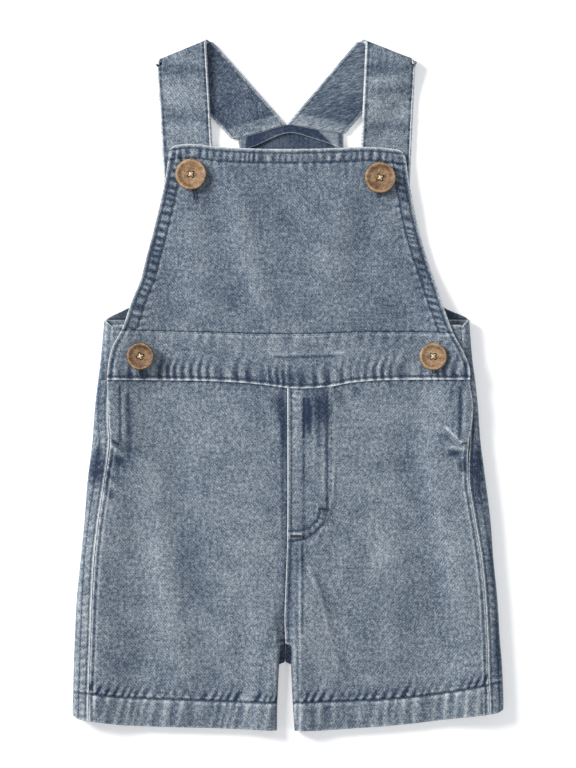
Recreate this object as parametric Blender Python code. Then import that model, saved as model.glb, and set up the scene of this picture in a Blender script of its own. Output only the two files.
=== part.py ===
"""Toddler's denim shortalls, laid flat on their back with the straps buttoned to the bib.

The hem points to -Y, the straps to +Y, and the back rests on z = 0. The wearer's right is -X.
Sizes in the tables and names are millimetres; the meshes are metres.
"""

import math
from collections import namedtuple

import bmesh
import bpy
from mathutils import Matrix, Vector

MM = 0.001

# Cloth: one layer of denim, a turned hem, a strap of two layers, and the gap kept at a seam
CLOTH = 1.2
HEM_WALL = 2.0
STRAP_WALL = 2.4
FLY_WALL = 1.0
GAP = 0.3
LAYER = CLOTH + GAP

# Rolls: outer radius where the back wraps round the side, and where a leg turns at its inside
SIDE_ROLL = 4.2
INNER_ROLL = 3.2
FRONT_ENDS_AT = -30.0
BACK_ENDS_AT = -40.0

# Heights of the front's upper face: resting, on the side roll, and lapped over the underlap
REST_TOP = 3.5
ROLL_TOP = 2 * SIDE_ROLL
LAP_TOP = ROLL_TOP + LAYER
INNER_TOP = 2 * INNER_ROLL
LOWEST_TOP = 2 * CLOTH + GAP + 0.05
HEM_LOWEST_TOP = 2 * HEM_WALL + GAP
BIB_RISE = 1.0
STRAP_LIFT = 1.45
SIDE_FALL = 38.0
INNER_FALL = 24.0
HEM_LIFT = 1.2
HEM_LIFT_REACH = 22.0
SEAM_CALM = 12.0
EDGE_CALM_FROM = -1.0
EDGE_CALM_TO = 5.0
REST_SOFTNESS = 0.3

# Lengths down the garment
WRAP_TOP = 42.0
UNDERLAP_TOP = 38.6
UNDERLAP_END = -36.0
OPENING_END = -46.0
OPENING_FULL = -37.0
CROTCH_FRONT = -167.0
CROTCH_BACK = -177.6
CENTRE_HALF_GAP = 0.225
VALLEY_TOP = -128.0
INNER_RISE_TOP = -118.0
STRAP_UNDER_FROM = 92.0
STRAP_UNDER_FULL = 118.0
VALLEY_FLOOR = 1.4
VALLEY_SIDE = 5.2
UNDERLAP_REACH = 30.0

Side = namedtuple("Side", "y left right left_strip right_strip left_inset right_inset")
SIDES = [
    Side(46.0, -118.8, 117.2, 5.4, 5.4, 6.3, 4.1),
    Side(16.0, -121.6, 119.6, 7.6, 6.0, 6.3, 4.1),
    Side(3.0, -123.2, 121.4, 7.9, 6.0, 6.3, 4.1),
    Side(-13.0, -125.1, 123.1, 8.6, 6.0, 8.8, 3.4),
    Side(-26.0, -126.1, 124.0, 9.8, 6.2, 10.2, 4.9),
    Side(-37.0, -126.9, 124.9, 11.3, 7.2, 11.9, 7.8),
    Side(-62.0, -130.0, 128.1, 11.2, 11.0, 11.5, 11.3),
    Side(-88.0, -132.0, 131.3, 9.4, 10.3, 9.7, 10.6),
    Side(-114.0, -134.6, 133.3, 9.1, 8.0, 9.4, 8.3),
    Side(-140.0, -137.1, 135.9, 10.2, 8.1, 10.5, 8.4),
    Side(-166.0, -138.4, 137.4, 10.5, 8.3, 10.8, 8.6),
    Side(-192.0, -139.2, 139.0, 10.4, 9.2, 10.7, 9.5),
    Side(-212.0, -139.7, 139.7, 10.4, 9.2, 10.7, 9.5),
    Side(-226.0, -139.7, 139.7, 10.4, 9.2, 10.7, 9.5),
]

Middle = namedtuple("Middle", "y seam left_edge right_edge")
MIDDLE = [
    Middle(4.0, -0.3, -3.3, 2.7),
    Middle(-94.0, -0.3, -3.3, 2.7),
    Middle(-128.0, -1.4, -4.6, 2.0),
    Middle(-153.0, -2.2, -5.2, 1.6),
    Middle(-167.0, -1.6, -4.8, 2.2),
    Middle(-179.0, -1.9, -5.8, 2.0),
    Middle(-192.0, -1.9, -6.5, 2.6),
    Middle(-205.0, -1.9, -7.1, 3.3),
    Middle(-226.0, -1.9, -7.2, 4.6),
]

Edge = namedtuple("Edge", "y left right")
BIB_EDGES = [
    Edge(-4.0, -117.2, 117.6),
    Edge(3.0, -117.1, 117.7),
    Edge(8.0, -116.7, 117.8),
    Edge(16.0, -115.6, 115.8),
    Edge(24.0, -113.2, 112.2),
    Edge(32.0, -108.6, 107.8),
    Edge(40.0, -105.3, 104.5),
    Edge(54.0, -101.2, 99.4),
    Edge(68.0, -95.7, 95.0),
    Edge(81.0, -92.4, 90.4),
    Edge(94.0, -88.8, 86.5),
    Edge(107.0, -85.6, 83.2),
    Edge(120.0, -82.4, 80.7),
    Edge(133.0, -79.7, 78.4),
    Edge(143.0, -78.1, 77.3),
    Edge(158.0, -76.6, 74.6),
]
BACK_EDGES = [
    Edge(41.9, -118.6, 117.2),
    Edge(44.0, -115.6, 115.0),
    Edge(48.0, -107.2, 105.0),
    Edge(52.0, -99.5, 98.0),
    Edge(60.0, -86.0, 86.0),
    Edge(72.0, -70.5, 71.5),
    Edge(90.0, -53.0, 55.0),
    Edge(110.0, -41.0, 43.5),
    Edge(130.0, -34.0, 37.5),
    Edge(148.0, -31.4, 36.2),
    Edge(162.0, -33.2, 36.0),
]

Across = namedtuple("Across", "x y")
BIB_TOP = [
    Across(-80.0, 154.0),
    Across(-64.0, 156.0),
    Across(-44.0, 154.0),
    Across(-14.0, 152.8),
    Across(14.0, 152.8),
    Across(36.0, 153.5),
    Across(56.0, 154.0),
    Across(78.0, 151.4),
]
WAIST_TOP = [
    Across(-120.0, 35.6),
    Across(-60.0, 34.2),
    Across(0.0, 32.8),
    Across(62.0, 34.4),
    Across(120.0, 33.0),
]
WAIST_FOOT = [
    Across(-125.0, 3.0),
    Across(-60.0, 2.4),
    Across(-33.0, 1.3),
    Across(-15.0, -0.4),
    Across(4.0, -2.6),
    Across(27.0, -1.5),
    Across(42.0, 1.2),
    Across(64.0, 2.8),
    Across(125.0, 3.1),
]
HEM_STITCH = [
    Across(-140.0, -198.8),
    Across(-128.0, -200.4),
    Across(-108.0, -202.7),
    Across(-69.0, -204.4),
    Across(-8.0, -206.3),
    Across(24.0, -205.7),
    Across(63.0, -204.2),
    Across(83.0, -202.4),
    Across(102.0, -199.7),
    Across(122.0, -196.3),
    Across(140.0, -192.4),
]
HEM_FOOT = [
    Across(-140.0, -213.8),
    Across(-136.0, -216.7),
    Across(-124.0, -218.7),
    Across(-108.0, -220.7),
    Across(-88.0, -221.8),
    Across(-49.0, -222.8),
    Across(-9.0, -224.3),
    Across(8.0, -224.6),
    Across(24.0, -224.2),
    Across(44.0, -222.9),
    Across(63.0, -221.6),
    Across(83.0, -219.6),
    Across(102.0, -217.2),
    Across(122.0, -214.8),
    Across(135.0, -212.9),
    Across(140.0, -210.6),
]
NECK_SEAM = [
    Across(-34.0, 159.2),
    Across(-17.0, 163.8),
    Across(0.0, 168.2),
    Across(18.0, 165.6),
    Across(37.0, 162.4),
]
FACING_FOOT = [
    Across(-34.0, 149.5),
    Across(-21.0, 155.0),
    Across(0.0, 163.2),
    Across(18.0, 159.2),
    Across(37.0, 152.6),
]

# Soft folds of the front: a bowed line, its half width, and how far it lifts or sinks the cloth
Fold = namedtuple("Fold", "x0 y0 x1 y1 bow width height")
FOLDS = [
    Fold(-91.0, -22.0, -66.0, -205.0, -3.6, 10.0, 1.7),
    Fold(-74.0, -30.0, -44.0, -205.0, -3.4, 9.0, -1.3),
    Fold(-30.0, -60.0, -24.0, -190.0, 2.0, 12.0, 0.7),
    Fold(72.0, -14.0, 106.0, -176.0, -3.0, 9.0, -1.3),
    Fold(88.0, -14.0, 121.0, -170.0, -2.6, 9.0, 1.4),
    Fold(10.0, -122.0, 31.0, -203.0, 1.6, 6.5, 1.3),
    Fold(26.0, -130.0, 46.0, -203.0, 1.0, 6.0, -1.0),
    Fold(60.0, -90.0, 72.0, -190.0, 2.0, 13.0, 0.8),
    Fold(-55.0, 146.0, -24.0, 40.0, -4.0, 8.0, -1.0),
    Fold(-39.0, 148.0, -8.0, 38.0, -4.0, 8.5, 1.2),
    Fold(-67.0, 118.0, -48.0, 40.0, -1.5, 8.0, 0.9),
    Fold(36.0, 132.0, 26.0, 50.0, -1.5, 9.0, 0.9),
    Fold(51.0, 126.0, 42.0, 56.0, -1.0, 8.0, -0.8),
]

# Puckers gathered by a row of stitches
HEM_WAVES = 16
HEM_WAVE_DEPTH = 0.35
HEM_WAVE_SLANT = 0.35
HEM_SWELL = 0.37
HEM_PROUD = 0.35
HEM_LEVEL_TOP = -206.0
HEM_LEVEL_FOOT = -220.0
WAIST_WAVES = 20
WAIST_WAVE_DEPTH = 0.3
WAIST_SWELL = 0.23
WAIST_WAVE_SHARES = (0.0, 0.4, 1.0, 0.7)
WAIST_PROUD = 0.3
WAIST_LEVEL_TOP = 34.0
WAIST_LEVEL_FOOT = 2.0

# Bib: its top, its foot, and the rounding of its upper corners
BIB_PEAK = 154.0
BIB_FOOT = 34.0
BIB_TOP_REACH = 40.0
BIB_FOOT_REACH = 26.0
BIB_CORNER = 5.0
BIB_CORNER_PULL = 0.8
BIB_CORNER_ANGLES = (35.0, 62.0, 90.0)

# Back: the bib's neck, the armhole's corner over the side roll, and the facing's ends
BACK_PEAK = 160.0
NECK_BEND_FROM = 110.0
CORNER_SLOPE = 0.75
CORNER_FROM = 30.0
FACING_LEFT = -31.0
FACING_RIGHT = 34.6

# Fly: the J-shaped double layer beside the centre seam
FLY_TOP = -4.2
FLY_FOOT_LEVELS = (-94.0, -98.8)
FLY_INSET = 0.6
FLY_TOP_SHIFT = 3.4
FLY_BEND_FOOT = -30.0
FLY_WIDTH = 30.8
FLY_STRAIGHT_END = -74.0
FLY_END = -100.0

# Straps: cut width, the free end under the bib, the fold over the shoulder and how it lies
STRAP_WIDTH = 33.0
STRAP_FOLD_ROLL = 2.0
STRAP_REST = STRAP_WALL / 2 + 0.1
STRAP_OVER = 1.5 * STRAP_WALL + GAP
STRAP_SETTLE = 20.0
STRAP_CREST_FALL = 14.0
STRAP_FRONT_LENGTH = 94.0
Strap = namedtuple("Strap", "side crest_x crest_y back_angle front_angle slip")
STRAPS = [
    Strap("right", -65.8, 218.4, 131.5, -86.7, -2.6),
    Strap("left", 61.9, 218.9, 49.6, -92.6, 4.0),
]

Button = namedtuple("Button", "name x y radius thick")
BUTTONS = [
    Button("button_bib_right", -62.9, 136.2, 10.15, 3.0),
    Button("button_bib_left", 59.8, 134.0, 10.15, 3.0),
    Button("button_side_right", -95.5, 18.2, 8.9, 2.7),
    Button("button_side_left", 93.9, 18.1, 8.9, 2.7),
]
BUTTON_HOLE = 1.0
BUTTON_HOLE_SPREAD = 1.9
BUTTON_CLEAR = 0.1
BUTTON_REST = 0.7
Turned = namedtuple("Turned", "radius height")
BUTTON_PROFILE = [
    Turned(0.0, 0.0),
    Turned(0.8, 0.0),
    Turned(1.0, 0.4),
    Turned(1.0, 0.7),
    Turned(0.93, 1.0),
    Turned(0.78, 1.0),
    Turned(0.66, 0.8),
    Turned(0.0, 0.74),
]

DENIM = (0.21, 0.25, 0.30)
DENIM_INSIDE = (0.055, 0.075, 0.12)
WOOD = (0.30, 0.18, 0.09)


def smooth(low, high, value):
    """0 below low, 1 above high, and an S-curve between."""
    t = min(max((value - low) / (high - low), 0.0), 1.0)
    return t * t * (3.0 - 2.0 * t)


def along(rows, key, value, column):
    """A column of a table at a value of its key column, on a smooth curve through the rows."""
    keys = [getattr(row, key) for row in rows]
    if keys[0] > keys[-1]:
        rows = rows[::-1]
        keys = keys[::-1]
    numbers = [getattr(row, column) for row in rows]
    if value <= keys[0]:
        return numbers[0]
    if value >= keys[-1]:
        return numbers[-1]
    last = len(keys) - 1
    i = max(n for n in range(last) if keys[n] <= value)
    span = keys[i + 1] - keys[i]

    def slope(n):
        low, high = max(n - 1, 0), min(n + 1, last)
        return (numbers[high] - numbers[low]) / (keys[high] - keys[low])

    t = (value - keys[i]) / span
    start, end = slope(i) * span, slope(i + 1) * span
    change = numbers[i + 1] - numbers[i]
    return (numbers[i] + start * t + (3 * change - 2 * start - end) * t * t
            + (start + end - 2 * change) * t ** 3)


def outline(side, y):
    return along(SIDES, "y", y, side)


def inward(side):
    """The direction from the outline to the middle: +1 on the left of the layout."""
    return 1.0 if side == "left" else -1.0


def wrap_seam(side, y):
    """Where the back's wrap ends on the front, beside the side seam."""
    return outline(side, y) + inward(side) * along(SIDES, "y", y, side + "_strip")


def front_edge(side, y):
    return outline(side, y) + inward(side) * along(SIDES, "y", y, side + "_inset")


def centre_seam(y):
    return along(MIDDLE, "y", y, "seam")


def inner_edge(side, y):
    return along(MIDDLE, "y", y, side + "_edge")


def fold_lift(x, y):
    """How far the soft folds lift the front at one place."""
    total = 0.0
    for fold in FOLDS:
        dx, dy = fold.x1 - fold.x0, fold.y1 - fold.y0
        length = math.hypot(dx, dy)
        t = ((x - fold.x0) * dx + (y - fold.y0) * dy) / length ** 2
        across = ((x - fold.x0) * dy - (y - fold.y0) * dx) / length
        reach = min(max(t, 0.0), 1.0)
        across += fold.bow * 4.0 * reach * (1.0 - reach)
        beyond = (t - reach) * length
        fade = smooth(-0.05, 0.25, t) * smooth(-0.05, 0.2, 1.0 - t)
        near = math.exp(-(across ** 2 + beyond ** 2) / fold.width ** 2)
        total += fold.height * near * fade
    return total


def front_top(x, y):
    """Height of the front's upper face, from the bib to the hems."""
    side = "left" if x < centre_seam(y) else "right"
    from_seam = inward(side) * (x - wrap_seam(side, y))
    lap = LAP_TOP + (ROLL_TOP - LAP_TOP) * (1.0 - smooth(OPENING_END, OPENING_FULL, y))
    side_rise = (lap - REST_TOP) * (1.0 - smooth(0.0, SIDE_FALL, from_seam))
    side_rise *= 1.0 - smooth(WRAP_TOP, 2 * WRAP_TOP, y)

    from_inside = abs(x - inner_edge(side, y)) - INNER_ROLL
    below = 1.0 - smooth(CROTCH_FRONT, INNER_RISE_TOP, y)
    inner_rise = (INNER_TOP - REST_TOP) * (1.0 - smooth(0.0, INNER_FALL, from_inside)) * below

    over_strap = smooth(STRAP_UNDER_FROM, STRAP_UNDER_FULL, y)
    near_hem = 1.0 - smooth(0.0, HEM_LIFT_REACH, y - along(HEM_STITCH, "x", x, "y"))
    lowest = LOWEST_TOP + (HEM_LOWEST_TOP - LOWEST_TOP) * near_hem + STRAP_LIFT * over_strap
    away = smooth(0.0, SEAM_CALM, from_seam)
    away *= smooth(EDGE_CALM_FROM, EDGE_CALM_TO, from_inside + INNER_ROLL)
    top = REST_TOP + side_rise + inner_rise + BIB_RISE * over_strap
    top += (HEM_LIFT * near_hem + fold_lift(x, y)) * away
    above = top - lowest
    rested = lowest + 0.5 * (above + math.sqrt(above ** 2 + REST_SOFTNESS))
    top += (rested - top) * away

    if y <= CROTCH_FRONT:
        return top
    depth = 1.0 - smooth(CROTCH_FRONT, VALLEY_TOP, y)
    floor = VALLEY_FLOOR * depth
    valley = depth * (1.0 - smooth(floor, floor + VALLEY_SIDE, abs(x - centre_seam(y))))
    return top - (top - LOWEST_TOP) * valley


def spread(start, end, count):
    return [start + (end - start) * n / count for n in range(count + 1)]


def heading(line, j):
    """Direction of a line of points at one of them, following its curve at the ends too."""
    if 0 < j < len(line) - 1:
        return line[j + 1] - line[j - 1]
    if j == 0:
        return 4 * line[1] - 3 * line[0] - line[2]
    return 3 * line[-1] - 4 * line[-2] + line[-3]


def wall(name, grid, thick, colour, section=True, relief=None, flip=False):
    """One closed sheet of cloth: the grid is its outer face, and the inner face lies under it.

    With section, each row is one cross-section, and the wall's depth stays in that section.
    """
    rows, columns = len(grid), len(grid[0])
    normals = []
    for i in range(rows):
        line = []
        for j in range(columns):
            across = heading(grid[i], j)
            down = grid[min(i + 1, rows - 1)][j] - grid[max(i - 1, 0)][j]
            if section:
                across.y = 0.0
                down = Vector((0.0, -1.0, 0.0))
            normal = across.cross(down).normalized()
            line.append(normal if flip else -normal)
        normals.append(line)

    mesh = bmesh.new()
    outer, inner = [], []
    for i in range(rows):
        raised = [relief(i, j) if relief else 0.0 for j in range(columns)]
        outer.append([mesh.verts.new((grid[i][j] + normals[i][j] * raised[j]) * MM)
                      for j in range(columns)])
        inner.append([mesh.verts.new((grid[i][j] - normals[i][j] * thick) * MM)
                      for j in range(columns)])
    for i in range(rows - 1):
        for j in range(columns - 1):
            for face in (outer, inner):
                mesh.faces.new((face[i][j], face[i][j + 1], face[i + 1][j + 1], face[i + 1][j]))
    rim = [(0, j) for j in range(columns)] + [(i, columns - 1) for i in range(1, rows)]
    rim += [(rows - 1, j) for j in range(columns - 2, -1, -1)] + [(i, 0) for i in range(rows - 2, 0, -1)]
    for (i, j), (k, m) in zip(rim, rim[1:] + rim[:1]):
        mesh.faces.new((outer[i][j], outer[k][m], inner[k][m], inner[i][j]))
    bmesh.ops.recalc_face_normals(mesh, faces=mesh.faces)
    return add(name, mesh, colour)


def add(name, mesh, colour, roughness=0.9):
    """Turn a bmesh into a named object with its own material."""
    data = bpy.data.meshes.new(name)
    mesh.to_mesh(data)
    mesh.free()
    data.shade_smooth()
    data.set_sharp_from_angle(angle=math.radians(40.0))
    thing = bpy.data.objects.new(name, data)
    bpy.context.collection.objects.link(thing)
    material = bpy.data.materials.new(name + "_finish")
    material.use_nodes = True
    shader = material.node_tree.nodes["Principled BSDF"]
    shader.inputs["Base Color"].default_value = (*colour, 1.0)
    shader.inputs["Roughness"].default_value = roughness
    data.materials.append(material)
    return thing


def arc(x, direction, radius, start, end, count):
    """Points (x, z) on a roll that touches z = 0, between two angles in degrees."""
    angles = [math.radians(a) for a in spread(start, end, count)]
    return [(x + direction * radius * math.cos(a), radius + radius * math.sin(a)) for a in angles]


def front_row(side, y, outer_count, inner_count):
    """A front leg's outer face in one section, from the side seam to the centre or the inseam."""
    direction = -inward(side)
    edge = inner_edge(side, y)
    knee = edge + direction * INNER_ROLL
    start = front_edge(side, y)
    row = [(x, front_top(x, y)) for x in spread(start, knee, outer_count)]
    if y > CROTCH_FRONT:
        end = centre_seam(y) + direction * CENTRE_HALF_GAP
        row += [(x, front_top(x, y)) for x in spread(knee, end, inner_count)[1:]]
    else:
        row += arc(knee, -direction, INNER_ROLL, 90.0, FRONT_ENDS_AT, inner_count)[1:]
    return row


def back_row(side, y, floor_count, inner_count):
    """A back leg's outer face in one section: wrap, side roll, floor, and the centre or inseam."""
    direction = inward(side)
    roll = outline(side, y) + direction * SIDE_ROLL
    edge = inner_edge(side, y)
    knee = edge - direction * INNER_ROLL
    row = [(x, ROLL_TOP) for x in spread(wrap_seam(side, y), roll, 2)]
    row += arc(roll, -direction, SIDE_ROLL, 90.0, -90.0, 8)[1:]
    row += [(x, 0.0) for x in spread(roll, knee, floor_count)[1:]]
    if y > CROTCH_BACK:
        end = centre_seam(y) - direction * GAP / 2
        row += [(x, 0.0) for x in spread(knee, end, inner_count)[1:]]
    else:
        row += arc(knee, direction, INNER_ROLL, -90.0, BACK_ENDS_AT, inner_count)[1:]
    return row


def rows_between(top, foot, count, extra=()):
    """Rows down the garment, with a few extra ones where its shape changes fast."""
    return sorted(set(spread(top, foot, count)) | set(extra), reverse=True)


# Legs: one front and one back panel each, the back wrapping round the side on to the front

LEG_TOP = 3.0
LEG_FOOT = -200.0
WAIST_BEND_FOOT = -40.0
HEM_BEND_TOP = -150.0
FRONT_EXTRA = (-41.0, -163.0, CROTCH_FRONT + 0.6, CROTCH_FRONT - 1.4)
BACK_EXTRA = (CROTCH_BACK + 0.8, CROTCH_BACK - 0.8)


def leg_y(x, y, waist_seam):
    """Bend a leg's rows on to the waist seam at the top and the hem's stitch line at the foot."""
    waist = (waist_seam - GAP / 2 - LEG_TOP) * smooth(WAIST_BEND_FOOT, LEG_TOP, y)
    stitch = along(HEM_STITCH, "x", x, "y") + GAP / 2
    return y + waist + (stitch - LEG_FOOT) * (1.0 - smooth(LEG_FOOT, HEM_BEND_TOP, y))


def leg_panels():
    for side, wearer in (("left", "right"), ("right", "left")):
        front = [[Vector((x, leg_y(x, y, along(WAIST_FOOT, "x", x, "y")), z))
                  for x, z in front_row(side, y, 12, 6)]
                 for y in rows_between(LEG_TOP, LEG_FOOT, 20, FRONT_EXTRA)]
        wall("front_leg_" + wearer, front, CLOTH, DENIM, flip=side == "right")
        back = [[Vector((x, leg_y(x, y, LEG_TOP), z)) for x, z in back_row(side, y, 3, 3)]
                for y in rows_between(LEG_TOP, LEG_FOOT, 14, BACK_EXTRA)]
        wall("back_leg_" + wearer, back, CLOTH, DENIM, flip=side == "left")


# Hems: the turned-up edge of each panel, doubled and gathered by its stitching

def hem_y(x, step):
    top = along(HEM_STITCH, "x", x, "y") - GAP / 2
    foot = along(HEM_FOOT, "x", x, "y")
    return top + (foot - top) * step


def hems():
    steps = spread(0.0, 1.0, 2)
    for side, wearer in (("left", "right"), ("right", "left")):
        columns = 4 * HEM_WAVES
        front, back = [], []
        for step in steps:
            level = HEM_LEVEL_TOP + (HEM_LEVEL_FOOT - HEM_LEVEL_TOP) * step
            front.append([Vector((x, hem_y(x, step), z))
                          for x, z in front_row(side, level, columns - 6, 6)])
            back.append([Vector((x, hem_y(x, step), z)) for x, z in back_row(side, level, 3, 3)])

        def gathered(i, j, last=columns):
            swell = 0.7 + 0.3 * math.sin(j * HEM_SWELL)
            wave = math.sin(2 * math.pi * (HEM_WAVES * j / last + HEM_WAVE_SLANT * i))
            ends = smooth(0.0, 5.0, j) * smooth(0.0, 7.0, last - j)
            return HEM_PROUD + HEM_WAVE_DEPTH * swell * wave * ends

        wall("front_hem_" + wearer, front, HEM_WALL - HEM_PROUD, DENIM, relief=gathered,
             flip=side == "right")

        def proud(i, j):
            return HEM_PROUD * (1.0 - smooth(4.0, 8.0, j))

        wall("back_hem_" + wearer, back, HEM_WALL - HEM_PROUD, DENIM, relief=proud,
             flip=side == "left")


# Waistband and bib: cut in two pieces, the band's ends lying over the underlaps

def waistband():
    columns = 4 * WAIST_WAVES
    grid = []
    for step in spread(0.0, 1.0, 3):
        row = []
        for share in spread(0.0, 1.0, columns):
            level = WAIST_LEVEL_TOP + (WAIST_LEVEL_FOOT - WAIST_LEVEL_TOP) * step
            left = along(BIB_EDGES, "y", level, "left")
            right = along(BIB_EDGES, "y", level, "right")
            x = left + (right - left) * share
            top = along(WAIST_TOP, "x", x, "y") - GAP / 2
            foot = along(WAIST_FOOT, "x", x, "y") + GAP / 2
            y = top + (foot - top) * step
            row.append(Vector((x, y, front_top(x, y))))
        grid.append(row)

    def gathered(i, j):
        swell = 0.65 + 0.35 * math.sin(j * WAIST_SWELL)
        wave = math.sin(2 * math.pi * WAIST_WAVES * j / columns)
        return WAIST_WAVE_DEPTH * swell * wave * WAIST_WAVE_SHARES[i] + WAIST_PROUD

    wall("waistband", grid, CLOTH, DENIM, relief=gathered)


def bib():
    """The front bib, its upper corners rounded."""
    shoulder = BIB_PEAK - BIB_CORNER
    levels = spread(BIB_FOOT, shoulder, 14)
    levels += [shoulder + BIB_CORNER * math.sin(math.radians(a)) for a in BIB_CORNER_ANGLES]
    grid = []
    for level in reversed(levels):
        over = max(level - shoulder, 0.0)
        pulled = BIB_CORNER_PULL * (BIB_CORNER - math.sqrt(max(BIB_CORNER ** 2 - over ** 2, 0.0)))
        left = along(BIB_EDGES, "y", level, "left") + pulled
        right = along(BIB_EDGES, "y", level, "right") - pulled
        near_top = smooth(BIB_PEAK - BIB_TOP_REACH, BIB_PEAK, level)
        near_foot = 1.0 - smooth(BIB_FOOT, BIB_FOOT + BIB_FOOT_REACH, level)
        row = []
        for x in spread(left, right, 18):
            top = (along(BIB_TOP, "x", x, "y") - BIB_PEAK) * near_top
            base = (along(WAIST_TOP, "x", x, "y") + GAP / 2 - BIB_FOOT) * near_foot
            row.append(Vector((x, level + top + base, front_top(x, level))))
        grid.append(row)
    wall("bib", grid, CLOTH, DENIM)


def fly():
    """The J-shaped mock fly on the wearer's left front, raised by its own layer."""
    grid = []
    for y in rows_between(FLY_TOP, FLY_FOOT_LEVELS[1], 15, FLY_FOOT_LEVELS):
        below = max(FLY_STRAIGHT_END - y, 0.0) / (FLY_STRAIGHT_END - FLY_END)
        start = centre_seam(y) + FLY_INSET
        width = (FLY_WIDTH - FLY_INSET) * math.sqrt(1.0 - below ** 2)
        row = []
        for x in spread(start, start + width, 6):
            rise = front_top(x, y) + GAP + FLY_WALL
            bend = along(WAIST_FOOT, "x", x, "y") - GAP / 2 + FLY_TOP_SHIFT
            shift = bend * smooth(FLY_BEND_FOOT, FLY_TOP, y)
            row.append(Vector((x, y + shift, rise)))
        grid.append(row)
    wall("fly", grid, FLY_WALL, DENIM)


# Back: waistband wrapping both sides, bib narrowing to the neck seam, facing and underlaps

def back_waistband():
    grid = []
    for y in rows_between(WRAP_TOP - GAP, LEG_TOP + GAP / 2, 5):
        left = outline("left", y) + SIDE_ROLL
        right = outline("right", y) - SIDE_ROLL
        row = [(x, ROLL_TOP) for x in spread(wrap_seam("left", y), left, 2)]
        row += arc(left, -1.0, SIDE_ROLL, 90.0, -90.0, 8)[1:]
        row += [(x, 0.0) for x in spread(left, right, 8)[1:]]
        row += arc(right, 1.0, SIDE_ROLL, -90.0, 90.0, 8)[1:]
        row += [(x, ROLL_TOP) for x in spread(right, wrap_seam("right", y), 2)[1:]]
        line = []
        for x, z in row:
            slope = CORNER_SLOPE * smooth(CORNER_FROM, WRAP_TOP, y) * smooth(SIDE_ROLL, ROLL_TOP, z)
            hollow = slope * min(abs(x - outline("left", y)), abs(x - outline("right", y)))
            line.append(Vector((x, y - hollow, z)))
        grid.append(line)
    wall("back_waistband", grid, CLOTH, DENIM, flip=True)


def back_bib():
    """The back bib on the floor, its armhole edges curving in to the neck seam."""
    levels = [WRAP_TOP] + [edge.y for edge in BACK_EDGES[1:-1]] + [BACK_PEAK]
    grid = []
    for level in reversed(levels):
        left = along(BACK_EDGES, "y", level, "left")
        right = along(BACK_EDGES, "y", level, "right")
        near_neck = smooth(NECK_BEND_FROM, BACK_PEAK, level)
        row = []
        for x in spread(left, right, 10):
            shift = (along(NECK_SEAM, "x", x, "y") - BACK_PEAK) * near_neck
            row.append(Vector((x, level + shift, 0.0)))
        grid.append(row)
    wall("back_bib", grid, CLOTH, DENIM, flip=True)


def back_facing():
    grid = []
    for step in (0.0, 1.0):
        row = []
        for x in spread(FACING_LEFT, FACING_RIGHT, 10):
            top = along(NECK_SEAM, "x", x, "y")
            foot = along(FACING_FOOT, "x", x, "y")
            row.append(Vector((x, top + (foot - top) * step, CLOTH + LAYER)))
        grid.append(row)
    wall("back_facing", grid, CLOTH, DENIM_INSIDE)


def underlaps():
    """The button extensions that carry the side buttons, under the waistband and the fronts."""
    for side, wearer in (("left", "right"), ("right", "left")):
        grid = []
        for y in rows_between(UNDERLAP_TOP, UNDERLAP_END, 9):
            start = wrap_seam(side, y) + inward(side) * GAP
            row = []
            for x in spread(start, start + inward(side) * UNDERLAP_REACH, 5):
                row.append(Vector((x, y, front_top(x, y) - LAYER)))
            grid.append(row)
        wall("underlap_" + wearer, grid, CLOTH, DENIM, flip=side == "right")


# Straps: a folded double strip from the neck seam, over the shoulder fold, to the bib's corner

def straps():
    for strap in STRAPS:
        direction = 1.0 if strap.side == "right" else -1.0
        run, front = (Vector((math.cos(a), math.sin(a)))
                      for a in (math.radians(strap.back_angle), math.radians(strap.front_angle)))
        out = (run - front).normalized()
        fold_line = Vector((out.y, -out.x))
        side = Vector((run.y, -run.x)) * direction
        roll = STRAP_FOLD_ROLL
        around = math.pi * roll
        half = STRAP_WIDTH / 2
        axis = Vector((strap.crest_x, strap.crest_y)) - out * (roll + STRAP_WALL / 2)
        low_edge = axis - side * half

        def fold_mark(w, turned):
            """How far along the strap a line of it has turned this far round the fold."""
            return (turned - (side * w).dot(out)) / run.dot(out)

        def seam_mark(w):
            """How far along the strap a line of it leaves the neck seam."""
            mark = 0.0
            for _ in range(12):
                point = axis + side * w + run * mark
                mark -= (point.y - along(NECK_SEAM, "x", point.x, "y") - 2 * GAP) / run.y
            return mark

        def lay(w, mark):
            """Fold one point of the flat strap over its roll and let it settle."""
            flat = axis + side * w + run * mark
            turned = (flat - axis).dot(out)
            if turned <= 0.0:
                return Vector((flat.x, flat.y, STRAP_WALL / 2))
            slip = fold_line * strap.slip * min(turned / around, 1.0)
            if turned < around:
                place = flat + out * (roll * math.sin(turned / roll) - turned) + slip
                return Vector((place.x, place.y, STRAP_WALL / 2 + roll * (1.0 - math.cos(turned / roll))))
            place = flat + out * (around - 2 * turned) + slip
            outside = (low_edge - place).dot(side)
            crest = STRAP_WALL / 2 + 2 * roll - STRAP_OVER
            over = STRAP_OVER + crest * math.exp((around - turned) / STRAP_CREST_FALL)
            rest = 1.0 - smooth(0.0, STRAP_SETTLE, outside)
            return Vector((place.x, place.y, STRAP_REST + (over - STRAP_REST) * rest))

        grid = []
        for leg, count in ((0, 9), (1, 7), (2, 14)):
            for share in spread(0.0, 1.0, count)[1 if leg else 0:]:
                row = []
                for w in spread(-half, half, 4):
                    marks = (seam_mark(w), fold_mark(w, 0.0), fold_mark(w, around),
                             fold_mark(0.0, around) + STRAP_FRONT_LENGTH)
                    row.append(lay(w, marks[leg] + (marks[leg + 1] - marks[leg]) * share))
                grid.append(row)
        strap_wall("strap_" + strap.side, grid, direction)


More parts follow.
